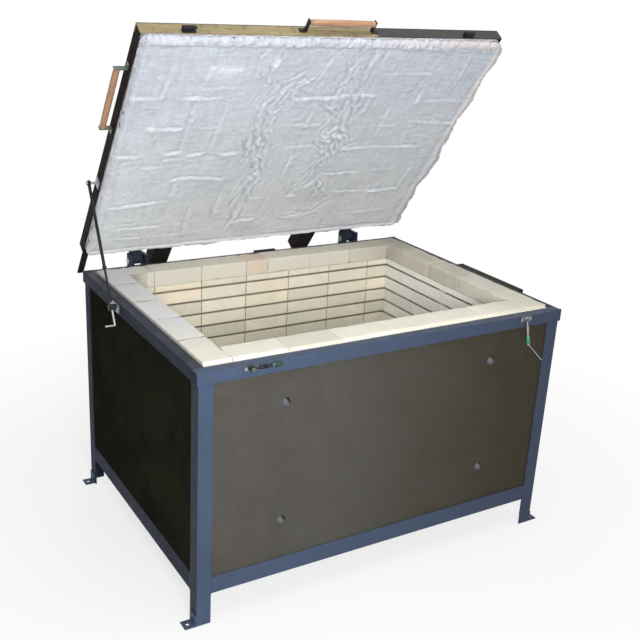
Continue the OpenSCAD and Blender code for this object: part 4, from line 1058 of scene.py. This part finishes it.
def crumples():
    """Short folds as (x, y, angle, half length, half width, height): dense along the seams, sparse elsewhere."""
    rng = np.random.default_rng(SEED + 11)
    made = []
    for path, width, dense, high, long in SEAMS:
        for (ax, ay), (bx, by) in zip(path, path[1:]):
            run, way = math.hypot(bx - ax, by - ay), math.atan2(by - ay, bx - ax)
            for _ in range(round(run * dense)):
                t, off = rng.uniform(-0.05, 1.05), np.clip(rng.normal(0, 0.5), -1.2, 1.2) * width
                lean = rng.normal(0, 0.30) if rng.random() < 0.88 else rng.uniform(-1.6, 1.6)
                x, y = ax + (bx - ax) * t - math.sin(way) * off, ay + (by - ay) * t + math.cos(way) * off
                made.append((x, y, way + lean / max(1, long) ** 0.7, long * rng.uniform(0.010, 0.032),
                             rng.uniform(0.0046, 0.0085),
                             high * rng.uniform(0.25, 1.0) * (1 if rng.random() < 0.7 else -0.8)))
    for _ in range(SPARSE_CRUMPLES):
        way = rng.choice((0.0, math.pi / 2)) + rng.normal(0, 0.16)
        made.append((rng.uniform(-0.80, 0.80), rng.uniform(-0.57, 0.59), way, rng.uniform(0.015, 0.060),
                     rng.uniform(0.005, 0.010), rng.uniform(0.06, 0.30) * rng.choice((1, 1, -1))))
    return made


def lining_relief(gx, gy, sizes):
    """How far the lining stands out from its flat face, and how white its fibre is, with painted highlight along the
    fold crests, on the grid gx by gy.
    """
    x, y = np.meshgrid(gx, gy, indexing="ij")
    wx = x + 0.007 * fractal(x * 8, y * 8, 1) + 0.0045 * fractal(x * 34, y * 34, 4)
    wy = y + 0.007 * fractal(x * 8, y * 8, 2) + 0.0045 * fractal(x * 34, y * 34, 5)
    relief = sum(high * fractal(x * across, y * along, seed) for high, across, along, seed in UNEVEN_FACE)
    fresh = np.zeros(x.shape)
    for k, (x0, x1, y0, y1, high, bow) in enumerate(CROSS_FOLDS):
        j0, j1 = np.searchsorted(gy, (min(y0, y1) - bow - 0.035, max(y0, y1) + 0.17))
        t = (gx - x0) / (x1 - x0)
        line = y0 + (y1 - y0) * t - bow * (1 - (2 * t - 1) ** 2)
        strong = (stroke(gx, x0, x1) * uneven(gx + k, 9, 10) * high)[:, None]
        d = wy[:, j0:j1] - line[:, None]
        relief[:, j0:j1] += sizes.fold_height * fold(d, strong, uneven(gx + k, 48, 13)[:, None])
        fresh[:, j0:j1] += 0.25 * strong * bell(d, 0.008)
    for k, (x0, x1, y0, y1, high) in enumerate(LONG_FOLDS):
        i0, i1 = np.searchsorted(gx, (min(x0, x1) - 0.04, max(x0, x1) + 0.15))
        line = x0 + (x1 - x0) * np.clip((gy - y0) / (y1 - y0), -0.2, 1.2)
        strong = stroke(gy, y0, y1) * uneven(gy + k, 9, 20) * high
        d = wx[i0:i1] - line
        relief[i0:i1] += sizes.fold_height * fold(d, strong, uneven(gy + k, 48, 23))
        fresh[i0:i1] += 0.3 * strong * bell(d, 0.008)
    for x0, y0, wide, deep, high in PATCHES:
        lump = bell(wx - x0, wide) * bell(wy - y0, deep)
        relief += sizes.fold_height * 0.7 * high * lump * (0.7 + 0.8 * fractal(x * 60, y * 60, 30))
        fresh += 0.7 * min(1.0, high + 0.4) * lump
    for x0, y0, way, long, wide, high in crumples():
        reach = 2.2 * long + 3 * wide
        i0, i1 = np.searchsorted(gx, (x0 - reach, x0 + reach))
        j0, j1 = np.searchsorted(gy, (y0 - reach, y0 + reach))
        dx, dy = wx[i0:i1, j0:j1] - x0, wy[i0:i1, j0:j1] - y0
        u, v = dx * math.cos(way) + dy * math.sin(way), dy * math.cos(way) - dx * math.sin(way)
        shape = bell(u, long) * (bell(v, wide) - 0.4 * bell(v - 2.1 * wide, wide * 1.2))
        relief[i0:i1, j0:j1] += sizes.crumple_height * high * shape
        fresh[i0:i1, j0:j1] += 0.12 * max(high, 0) * bell(u, long) * bell(v, wide)
    return relief, fresh


# Zones of the lining, in metres on the closed lid
FINE_HALF = 0.34
EDGE_ZONE = 0.045
SIDE_HEM, REAR_HEM, LEFT_HEM = 0.799, 0.596, -0.800
HEM_START = (-0.600, -0.560)
SIDE_LIP, REAR_LIP = (0.803, 0.811), (0.602, 0.612)
FRONT_LINE, FRONT_BAND = -0.588, (-0.578, -0.600)
# How far the relief may stand out: over the brick rim, and more over the chamber and outside the bricks
OVER_RIM, OVER_CHAMBER, OVER_OUTSIDE = 0.0001, 0.0060, 0.0033
CHAMBER_FADE, OUTSIDE_FADE = (-0.008, -0.075), (0.005, 0.013)
SUNK, CLEAR = 0.0056, 0.0004
# Rings of the lining's side: height, and share of the torn outline that is left there
SIDE_RINGS = ((1.0895, 0.75), (1.0922, 0.08), (1.0965, 0.0), (1.118, 0.0), (LINING_BACK, 0.0))
# Where the torn lip on the right ends, as Y and X
RIGHT_LIP = np.array([
    (-0.612, 0.812), (-0.580, 0.838), (-0.515, 0.850), (-0.465, 0.838), (-0.410, 0.834), (-0.340, 0.843),
    (-0.288, 0.860), (-0.235, 0.850), (-0.185, 0.838), (-0.090, 0.843), (-0.025, 0.858), (0.012, 0.848),
    (0.060, 0.864), (0.125, 0.878), (0.230, 0.873), (0.305, 0.850), (0.345, 0.862), (0.430, 0.864),
    (0.510, 0.868), (0.590, 0.876), (0.625, 0.868),
]).T


class KILN_OT_lining(bpy.types.Operator):
    """Shapes the quilted fibre lining with its creases, puckered seams and torn edges"""
    bl_idname = "kiln.lining"
    bl_label = "Lid lining"

    @staticmethod
    def lines(half, edge, fine, step, fine_step):
        """Mesh lines from side to side: closest where the edge turns, and close within the fine zone."""
        border = half - edge * np.array([0.90, 0.80, 0.70, 0.62, 0.54, 0.46, 0.38, 0.30, 0.22, 0.15, 0.07, 0.0])
        mid = np.linspace(-fine, fine, round(2 * fine / fine_step) + 1)
        outer = np.linspace(fine, half - edge, round((half - edge - fine) / step) + 1)[1:]
        return np.concatenate((-border[::-1], -outer[::-1], mid, outer, border))

    @staticmethod
    def hems(x, y, ex, ey, relief):
        """Adds the tufted front band with its sunken line, and the rolled hems at the sides and the rear."""
        front = FRONT_LINE + 0.022 * smooth(x, 0.15, 0.80) + 0.005 * drift(x, 8, 111)
        tufts = ridged(x * 46 + 26 * ey, ey * 16, 104) * 0.0085 + 0.007 * fractal(x * 60, y * 40, 108)
        tufts *= np.clip(0.8 + 0.9 * drift(x, 5, 110), 0.25, 1.5)
        relief += smooth(y - front, 0.006, -0.012) * tufts
        relief -= 0.0028 * bell(y - front, 0.0045) * uneven(x, 6, 112)
        rear = y - REAR_HEM + 0.003 * drift(x, 7, 114)
        relief += 0.0065 * bell(rear, 0.009) - 0.0040 * bell(rear - 0.013, 0.006)
        relief -= 0.0040 * bell(y - REAR_HEM + 0.015 + 0.004 * drift(x, 7, 115), 0.0045) * uneven(x, 8, 117)
        side = x - SIDE_HEM + 0.002 * drift(y, 9, 116)
        relief += 0.0070 * bell(side, 0.0055) * smooth(y, *HEM_START) - 0.0060 * bell(side - 0.010, 0.0045)
        relief += 0.0035 * bell(x - LEFT_HEM + 0.004 * drift(y, 7, 118), 0.010)
        relief += smooth(np.minimum(ex, ey), 0.03, 0.008) * 0.003 * ridged(x * 30, y * 30, 119, 2)
        return tufts

    @staticmethod
    def held_back(x, y, relief):
        """Keeps the relief clear of the brick rim, which the closed lid rests on."""
        ax, ay = np.abs(x), np.abs(y)
        chamber = smooth(np.maximum(ax - HALF_L, ay - HALF_D), *CHAMBER_FADE)
        outside = smooth(np.maximum(ax - HALF_L - WALL_T, ay - HALF_D - WALL_T), *OUTSIDE_FADE)
        half = OVER_RIM + OVER_CHAMBER * chamber + OVER_OUTSIDE * outside
        relief = relief - SUNK
        return np.where(relief > half, half + half * np.tanh((relief - half) / half), relief) - CLEAR

    @staticmethod
    def painted_hollow_shade(y, relief, tufts):
        """Painted shade, from 0 to 1: full in the folds' hollows and between the front band's tufts, and part of it
        over all of the front band.
        """
        around = sum(np.roll(relief, step, axis) for step in (-4, 4) for axis in (0, 1)) / 4
        hollow_shade = np.clip((around - relief) / 0.004, 0, 1)
        return np.maximum(hollow_shade, smooth(y, *FRONT_BAND) * (0.3 + 0.7 * smooth(tufts, 0.0042, 0.0008)))

    @staticmethod
    def rounded(x, y, ex, ey, r):
        """The grid with its corners rounded, and how far its edge turns up; less at the right and rear."""
        ax, ay = np.clip(r - ex, 0, r), np.clip(r - ey, 0, r)
        turn = np.hypot(ax, ay)
        pull = np.where(turn > r, r / np.maximum(turn, 1e-9), 1.0)
        x = np.where(turn > r, np.sign(x) * (LINING_X - r + ax * pull), x)
        y = np.where(turn > r, np.sign(y) * (LINING_Y - r + ay * pull), y)
        rise = r - np.sqrt(np.clip(r * r - np.minimum(turn, r) ** 2, 0, None))
        return x, y, rise * (1 - 0.6 * smooth(x, 0.74, 0.80)) * (1 - 0.55 * smooth(y, 0.54, 0.59))

    @staticmethod
    def torn_outline(x, y, ex, ey, tufts):
        """How far the torn edges reach out in X and in Y."""
        right = np.interp(y, *RIGHT_LIP) - LINING_X + 0.009 * drift(y, 26, 122) + 0.004 * drift(y, 90, 124)
        left = 0.004 * drift(y, 9, 126) + 0.003 * drift(y, 40, 128)
        rear = 0.001 + 0.012 * drift(x, 8, 130) + 0.008 * drift(x, 45, 132)
        rear = np.clip(rear, -0.012, 0.009 * smooth(np.abs(x), 0.47, 0.43))
        front = np.clip(-0.001 + 0.9 * tufts, -0.004, 0.007)
        return (np.where(x > 0, right, -left) * smooth(ex, EDGE_ZONE, 0.0),
                np.where(y > 0, rear, -front) * smooth(ey, EDGE_ZONE, 0.0))

    @staticmethod
    def sewn(closed, plain, shape, looks):
        """The lining as one mesh: its face, the rings of its side and its back."""
        index = np.arange(len(closed)).reshape(shape)
        quads = np.stack((index[:-1, :-1], index[:-1, 1:], index[1:, 1:], index[1:, :-1]), -1).reshape(-1, 4)
        border = np.concatenate((index[:-1, 0], index[-1, :-1], index[:0:-1, -1], index[0, :0:-1]))
        faces, verts = [quads], [closed]
        values = {key: [value.ravel()] for key, value in looks.items()}
        last, top = border, len(closed)
        for level, share in SIDE_RINGS:
            ring = np.full((len(border), 3), level)
            ring[:, :2] = plain[border] + (closed[border, :2] - plain[border]) * share
            now = np.arange(top, top + len(border))
            faces.append(np.stack((last, now, np.roll(now, -1), np.roll(last, -1)), 1))
            verts.append(ring)
            for key, row in values.items():
                row.append(np.full(len(border), 0.5 if key == "edge" else 0.0))
            last, top = now, top + len(border)
        verts.append(np.array([[0.0, LID_MID_Y, LINING_BACK]]))
        for row in values.values():
            row.append(np.zeros(1))
        back = [(a, top, b) for a, b in zip(last.tolist(), np.roll(last, -1).tolist())]
        closed = np.concatenate(verts)
        mesh = bpy.data.meshes.new("lid_lining")
        mesh.from_pydata(opened(closed).tolist(), [], np.concatenate(faces).tolist() + back)
        keep(mesh, "local", "FLOAT_VECTOR", closed)
        for key, row in values.items():
            keep(mesh, key, "FLOAT", np.concatenate(row))
        mesh.materials.append(finish_for("fibre"))
        mesh.shade_smooth()
        return linked("lid_lining", mesh)

    def execute(self, context):
        sizes = context.scene.kiln_sizes
        r = sizes.lining_round
        gx = self.lines(LINING_X, r, FINE_HALF, sizes.lining_step, sizes.lining_fine)
        gy = self.lines(LINING_Y, r, LINING_Y - r, sizes.lining_step, sizes.lining_fine)
        x, y = np.meshgrid(gx, gy, indexing="ij")
        ex, ey = LINING_X - np.abs(x), LINING_Y - np.abs(y)
        relief, fresh = lining_relief(gx, gy, sizes)
        tufts = self.hems(x, y, ex, ey, relief)
        lip = np.maximum(smooth(x, *SIDE_LIP), 0.6 * smooth(y, *REAR_LIP))
        hem = np.maximum(bell(x - SIDE_HEM, 0.006) * smooth(y, *HEM_START), bell(y - REAR_HEM, 0.009))
        # Painted highlight along the hem ridges
        fresh = np.maximum(fresh, 0.8 * hem * (1 - lip))
        relief = self.held_back(x, y, relief)
        hollow_shade = self.painted_hollow_shade(y, relief, tufts)
        x, y, rise = self.rounded(x, y, ex, ey, r)
        face = 1 - rise / r
        out_x, out_y = self.torn_outline(x, y, ex, ey, tufts)
        closed = np.stack((x + out_x, y + out_y + LID_MID_Y, LINING_FACE - relief * face + rise), -1)
        plain = np.stack((x, y + LID_MID_Y), -1)
        # The fold attribute is painted shade: in the hollows, over the front band and on the flange beyond the torn
        # lip
        looks = {
            "edge": smooth(np.minimum(ex, ey), EDGE_ZONE, 0.0) * (0.10 + 0.65 * smooth(x, 0.0, 0.6) * (y < 0)),
            "fold": np.maximum(hollow_shade * face, 0.75 * lip * smooth(ey, 0.0, 0.02)),
            "fresh": np.clip(fresh * face, 0, 1),
        }
        made = self.sewn(closed.reshape(-1, 3), plain.reshape(-1, 2), x.shape, looks)
        settle(made, "lid", "fibre", "lid_fibre")
        self.fringe(sizes)
        return {"FINISHED"}

    def fringe(self, sizes):
        """Torn tufts along the lining's edge, thickest at the front."""
        rng = np.random.default_rng(SEED + 3)
        tuft = Pile()
        tuft.turned([(0, 0), (0.0004, 0.16), (0.45, 0.20), (0.8, 0.11), (1.0, 0)], (0, 0, 0), (0, 0, 1), 6)
        shape = tuft.piece("tuft", finish_for("fibre"))
        places, turns, stretch = [], [], []
        sides = [((-1, -1), (1, -1), 0.0045, 1.0), ((1, -1), (1, 1), 0.007, 0.7),
                 ((1, 1), (-1, 1), 0.007, 0.7), ((-1, 1), (-1, -1), 0.010, 0.5)]
        for (ax, ay), (bx, by), gap, size in sides:
            a = np.array((ax * LINING_X, ay * LINING_Y + LID_MID_Y))
            b = np.array((bx * LINING_X, by * LINING_Y + LID_MID_Y))
            run = np.linalg.norm(b - a)
            inward = -np.array(((b - a)[1], -(b - a)[0])) / run
            for t in np.arange(0.035, run - 0.035, gap):
                deep, level = rng.uniform(0.0, 0.004), rng.uniform(1.078, 1.091)
                p = a + (b - a) * (t + rng.uniform(-gap, gap)) / run + inward * (0.0015 + deep)
                if ax == bx == 1:
                    p[0] = np.interp(p[1], *RIGHT_LIP) - 0.004
                lean = Vector((-inward[0], -inward[1], rng.uniform(-0.9, 0.25)))
                lean += Vector((b - a).tolist() + [0]).normalized() * rng.uniform(-0.7, 0.7)
                places.append((*p, level))
                long = sizes.tuft_length * size * rng.uniform(0.5, 1.15)
                wide = sizes.tuft_length * rng.uniform(0.4, 0.8)
                stretch.append((wide, wide, long))
                way = Vector(opened([tuple(lean)])[0]) - Vector(opened([(0, 0, 0)])[0])
                turns.append(tuple(way.to_track_quat("Z", "Y").to_euler()))
        made = laid("lining_fringe", [shape], opened(places), turns, finish_for("fibre"), stretch=stretch,
                    edge=np.full(len(places), 0.15), fold=np.zeros(len(places)), fresh=np.zeros(len(places)))
        settle(made, "lid", "fibre")


# ---------------------------------------------------------------- fittings

class KILN_OT_grips(bpy.types.Operator):
    """Turns the two wooden grips"""
    bl_idname = "kiln.grips"
    bl_label = "Handle grips"

    # Half of a grip, as distance from its middle and radius
    HALF = [(-0.150, 0), (-0.150, 0.0095), (-0.148, 0.0118), (-0.140, 0.0121), (-0.137, 0.0108), (-0.134, 0.0123),
            (-0.080, 0.0129), (0.0, 0.013)]
    # Middle of each grip on the closed lid, and the way that it runs
    PLACES = (((0, -0.664, 1.119), (1, 0, 0)), ((-0.865, -0.284, 1.119), (0, 1, 0)))

    def execute(self, context):
        profile = self.HALF + [(-along, radius) for along, radius in self.HALF[-2::-1]]
        pile = Pile()
        for at, way in self.PLACES:
            centre, far = opened([at, np.add(at, way)])
            pile.turned(profile, centre, far - centre, 36)
        settle(pile.piece("turned_grips", finish_for("grip_wood")), "lid", "grip_wood", "handle_grips")
        return {"FINISHED"}


class KILN_OT_latches(bpy.types.Operator):
    """Makes the fluted knobs, the springs, washers and threads of the two swing bolts"""
    bl_idname = "kiln.latches"
    bl_label = "Latches"

    # Turned shapes, as distance from the bolt's pin and radius
    KNOB = [(0.084, 0), (0.084, 0.0072), (0.0855, 0.0082), (0.088, 0.0089), (0.106, 0.0090), (0.1095, 0.0084),
            (0.1115, 0.0070), (0.112, 0)]
    WASHER = [(0.0805, 0), (0.0805, 0.0082), (0.0808, 0.0086), (0.0822, 0.0086), (0.0826, 0.0082), (0.0826, 0)]
    FLUTES, FLUTE_DEPTH = 8, 0.13
    # Wound shapes: start and end along the bolt, pitch, radius and thickness of the wire
    WOUND = {"spring": (0.0395, 0.0610, 0.0036, 0.0066, 0.0018), "thread": (0.0615, 0.0800, 0.0015, 0.0040, 0.0009)}

    def execute(self, context):
        lean = (math.sin(LATCH_LEAN), 0, -math.cos(LATCH_LEAN))
        bright, dull = finish_for("bare_steel"), bpy.data.materials["latch_dark_steel"]
        green, dark_green = finish_for("green_knob"), bpy.data.materials["dark_green_plastic"]
        for side, x, axis, steel, plastic in (("left", -LATCH_OUT, (1, 0, 0), dull, dark_green),
                                              ("right", LATCH_OUT, lean, bright, green)):
            pin, axis = Vector((x, LATCH_Y, LATCH_Z)), Vector(axis)
            knob, washer = Pile(), Pile()
            knob.turned(self.KNOB, pin, axis, 48, self.FLUTES, self.FLUTE_DEPTH)
            settle(knob.piece(f"fluted_knob_{side}", plastic), f"knob_{side}", "green_knob", f"latch_knob_{side}")
            washer.turned(self.WASHER, pin, axis, 28)
            settle(washer.piece(f"latch_washer_{side}", bright), f"latch_{side}", "bare_steel")
            for name, (low, high, pitch, radius, wire) in self.WOUND.items():
                path = [(*(pin + axis * low), 1.0), (*(pin + axis * high), 1.0)]
                made = wound(f"latch_{name}_{side}", [path], pitch, radius, wire, 14, steel)
                settle(made, f"latch_{side}", "bare_steel")
        return {"FINISHED"}


class KILN_OT_studs(bpy.types.Operator):
    """Makes the four domed studs of the front panel"""
    bl_idname = "kiln.studs"
    bl_label = "Panel studs"

    def execute(self, context):
        low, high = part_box("panel_bolts")
        r, tall = STUD_R, high.y - low.y
        round_r = (r * r + tall * tall) / (2 * tall)
        profile = [(0, 0)] + [(tall - round_r * (1 - math.cos(a)), round_r * math.sin(a))
                              for a in np.linspace(math.asin(r / round_r), 0, 9)]
        pile = Pile()
        for x in (low.x + r, high.x - r):
            for z in (low.z + r, high.z - r):
                pile.turned(profile, (x, high.y, z), (0, -1, 0), 40)
        made = pile.piece("panel_studs", bpy.data.materials["stud_enamel"])
        settle(made, "kiln", "panel_paint", "panel_bolts")
        return {"FINISHED"}


class KILN_OT_welds(bpy.types.Operator):
    """Runs weld beads where the angle iron meets"""
    bl_idname = "kiln.welds"
    bl_label = "Weld beads"

    # Ends of the beads at one corner of the frame, which the other three mirror
    CORNER = (
        (0.844, 0.618, 1.0447), (0.802, 0.618, 1.0447),
        (0.8375, 0.6185, 0.9955), (0.778, 0.6185, 0.9955),
        (0.8385, 0.6175, 0.9955), (0.8385, 0.558, 0.9955),
        (0.778, 0.6178, 0.133), (0.778, 0.6178, 0.199),
        (0.8378, 0.558, 0.133), (0.8378, 0.558, 0.199),
    )

    def execute(self, context):
        places = [(sx * x, sy * y, z) for sx in (-1, 1) for sy in (-1, 1) for x, y, z in self.CORNER]
        holder = points_mesh("lines", places, [(i, i + 1) for i in range(0, len(places), 2)])
        made = grown(holder, bead_tree(), "frame_welds", Width=context.scene.kiln_sizes.bead_width, Seed=SEED,
                     Finish=finish_for("frame_paint"))
        made.data.shade_smooth()
        settle(made, "kiln", "frame_paint")
        return {"FINISHED"}


class KILN_OT_screws(bpy.types.Operator):
    """Sets the domed screws round the edge of the terminal cover"""
    bl_idname = "kiln.screws"
    bl_label = "Cover screws"

    INSET = 0.014
    SIDES = 16
    # Rings of a screw's head: share of its radius, height
    RINGS = ((1.0, 0.0), (1.0, 0.0008), (0.82, 0.0020), (0.45, 0.0026))

    def screw(self, r):
        pile, n = Pile(), self.SIDES
        angles = [2 * math.pi * i / n for i in range(n)]
        verts = [(share * r * math.cos(a), share * r * math.sin(a), z) for share, z in self.RINGS for a in angles]
        faces = [(k + i, k + (i + 1) % n, k + n + (i + 1) % n, k + n + i)
                 for k in range(0, len(verts) - n, n) for i in range(n)]
        pile.add(verts, faces + [range(len(verts) - n, len(verts)), range(n - 1, -1, -1)])
        return pile.piece("screw", finish_for("bare_steel"), smooth=False)

    def execute(self, context):
        low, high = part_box("terminal_cover")
        ys = np.linspace(low.y + self.INSET, high.y - self.INSET, 4)
        zs = np.linspace(low.z + self.INSET, high.z - self.INSET, 5)
        places = [(high.x, y, z) for y in ys for z in (zs[0], zs[-1])]
        places += [(high.x, y, z) for z in zs[1:-1] for y in (ys[0], ys[-1])]
        rng = np.random.default_rng(SEED + 5)
        turns = [tuple((Matrix.Rotation(math.pi / 2, 3, "Y") @ Matrix.Rotation(a, 3, "Z")).to_euler())
                 for a in rng.uniform(0, math.pi, len(places))]
        screw = self.screw(context.scene.kiln_sizes.screw_across / 2)
        made = laid("cover_screws", [screw], places, turns, finish_for("bare_steel"))
        settle(made, "kiln", "bare_steel")
        return {"FINISHED"}


class KILN_OT_finishes(bpy.types.Operator):
    """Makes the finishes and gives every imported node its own"""
    bl_idname = "kiln.finishes"
    bl_label = "Finishes"

    # Starts of the names of the nodes whose edges are rounded
    SOFT_EDGES = ("leg_", "ring_", "base_rail_", "lid_rail_", "feet", "hinge_brackets", "hinge_leaves", "lid_arms",
                  "strikes", "handle_straps", "terminal_box")

    def execute(self, context):
        slots, own = finishes()
        context.scene["kiln_slots"] = {slot: made.name for slot, made in slots.items()}
        for name, node in NODES.items():
            node.data.materials.clear()
            node.data.materials.append(own.get(name) or slots[SLOT_OF[name]])
            if name.startswith(self.SOFT_EDGES):
                weld = node.modifiers.new("weld", "WELD")
                weld.merge_threshold = 2e-5
                edge = node.modifiers.new("edge", "BEVEL")
                edge.width = context.scene.kiln_sizes.steel_edge * (0.5 if "strap" in name or "box" in name else 1)
                edge.segments = 2
                edge.limit_method = "ANGLE"
                edge.angle_limit = math.radians(50)
        return {"FINISHED"}


# ---------------------------------------------------------------- stage

class KILN_OT_stage(bpy.types.Operator):
    """Sets the camera, the lamps, the pale floor and the white surround"""
    bl_idname = "kiln.stage"
    bl_label = "Stage"

    # The camera's place, its right, up and ahead, and its lens and sensor in millimetres
    CAMERA_AT = (-2.0483, -3.3251, 2.3328)
    RIGHT, UP, AHEAD = (0.8578, -0.5114, 0.0521), (0.1339, 0.3202, 0.9379), (0.4963, 0.7975, -0.3431)
    LENS, SENSOR = 53.06, 36.0
    # Each lamp's size, its place and what it faces
    LAMPS = {
        "key": (1.0, (-1.55, -3.5, 2.15), (-0.1, 0.0, 1.1)),
        "top": (2.2, (0.2, -1.3, 4.0), (0.0, 0.1, 0.9)),
        "rear": (2.2, (1.3, 3.8, 2.4), (0.1, 0.3, 1.0)),
    }
    FLOOR_HALF, FLOOR_Z = 25.0, -0.0005

    def execute(self, context):
        scene = context.scene
        stage = scene.kiln_stage
        scene.view_settings.view_transform = "Standard"
        lens = bpy.data.cameras.new("camera")
        lens.sensor_width, lens.lens, lens.clip_end = self.SENSOR, self.LENS, 100.0
        scene.camera = linked("camera", lens)
        turn = Matrix((self.RIGHT, self.UP, -Vector(self.AHEAD))).transposed().to_4x4()
        scene.camera.matrix_world = Matrix.Translation(self.CAMERA_AT) @ turn
        for name, (size, at, towards) in self.LAMPS.items():
            light = bpy.data.lights.new(name, "AREA")
            light.energy, light.size = getattr(stage, name + "_power"), size
            way = Vector(towards) - Vector(at)
            turn = way.to_track_quat("-Z", "Y").to_matrix().to_4x4()
            linked(name, light).matrix_world = Matrix.Translation(at) @ turn
        self.surround(scene, stage)
        self.floor(stage)
        return {"FINISHED"}

    @staticmethod
    def seen(g):
        """1 for rays that show the surround: camera, mirror and glass rays."""
        path = g.add("ShaderNodeLightPath").outputs
        return g.most(g.most(path["Is Camera Ray"], path["Is Glossy Ray"]), path["Is Transmission Ray"])

    @staticmethod
    def either(g, share, first, second):
        return g.add("ShaderNodeMixShader", {0: share, 1: first.outputs[0], 2: second.outputs[0]})

    def surround(self, scene, stage):
        scene.world = scene.world or bpy.data.worlds.new("surround")
        scene.world.use_nodes = True
        g = Graph(scene.world.node_tree)
        g.tree.nodes.clear()
        even = g.add("ShaderNodeBackground", {"Color": (1, 1, 1, 1), "Strength": stage.ambient})
        white = g.add("ShaderNodeBackground", {"Color": (1, 1, 1, 1), "Strength": 1.0})
        both = self.either(g, self.seen(g), even, white)
        g.add("ShaderNodeOutputWorld", {"Surface": both.outputs[0]})

    def floor(self, stage):
        """A pale floor that fades to white away from the kiln and can't be seen from below."""
        mesh = bpy.data.meshes.new("floor")
        corners = [(sx * self.FLOOR_HALF, sy * self.FLOOR_HALF, self.FLOOR_Z)
                   for sx, sy in ((-1, -1), (1, -1), (1, 1), (-1, 1))]
        mesh.from_pydata(corners, [], [(0, 1, 2, 3)])
        floor = linked("floor", mesh)
        made = bpy.data.materials.new("pale_floor")
        made.use_nodes = True
        g = Graph(made.node_tree)
        g.tree.nodes.clear()
        away = g.add("ShaderNodeVectorMath", {0: g.object_place()}, operation="LENGTH").outputs["Value"]
        pale = g.add("ShaderNodeBsdfDiffuse", {"Color": tone(stage.floor_pale)})
        white = g.add("ShaderNodeEmission", {"Color": (1, 1, 1, 1), "Strength": 1.0})
        both = self.either(g, g.times(self.seen(g), g.span(away, 0.8, 2.6, 0.74, 1.0)), pale, white)
        under = g.add("ShaderNodeNewGeometry").outputs["Backfacing"]
        sided = self.either(g, under, both, g.add("ShaderNodeBsdfTransparent"))
        g.add("ShaderNodeOutputMaterial", {"Surface": sided.outputs[0]})
        mesh.materials.append(made)


class KILN_PT_panel(bpy.types.Panel):
    """Lists the kiln's pieces"""
    bl_idname = "KILN_PT_panel"
    bl_label = "Electric kiln"
    bl_space_type = "VIEW_3D"
    bl_region_type = "UI"
    bl_category = "Kiln"

    def draw(self, context):
        for made in PIECES:
            self.layout.operator(made.bl_idname)
        for group in (context.scene.kiln_sizes, context.scene.kiln_finishes, context.scene.kiln_stage):
            box = self.layout.box()
            for key in group.__annotations__:
                box.prop(group, key)


PIECES = (KILN_OT_stage, KILN_OT_finishes, KILN_OT_bricks, KILN_OT_coils, KILN_OT_lining, KILN_OT_grips,
          KILN_OT_latches, KILN_OT_studs, KILN_OT_welds, KILN_OT_screws)
GROUPS = {"kiln_finishes": KilnFinishes, "kiln_sizes": KilnSizes, "kiln_stage": KilnStage}


def register():
    for made in (*GROUPS.values(), *PIECES, KILN_PT_panel):
        bpy.utils.register_class(made)
    for name, group in GROUPS.items():
        setattr(bpy.types.Scene, name, PointerProperty(type=group))


def unregister():
    for name in GROUPS:
        delattr(bpy.types.Scene, name)
    for made in (KILN_PT_panel, *reversed(PIECES), *reversed(list(GROUPS.values()))):
        bpy.utils.unregister_class(made)


def main():
    register()
    for made in PIECES:
        group, name = made.bl_idname.split(".")
        getattr(getattr(bpy.ops, group), name)()


if __name__ == "__main__":
    main()
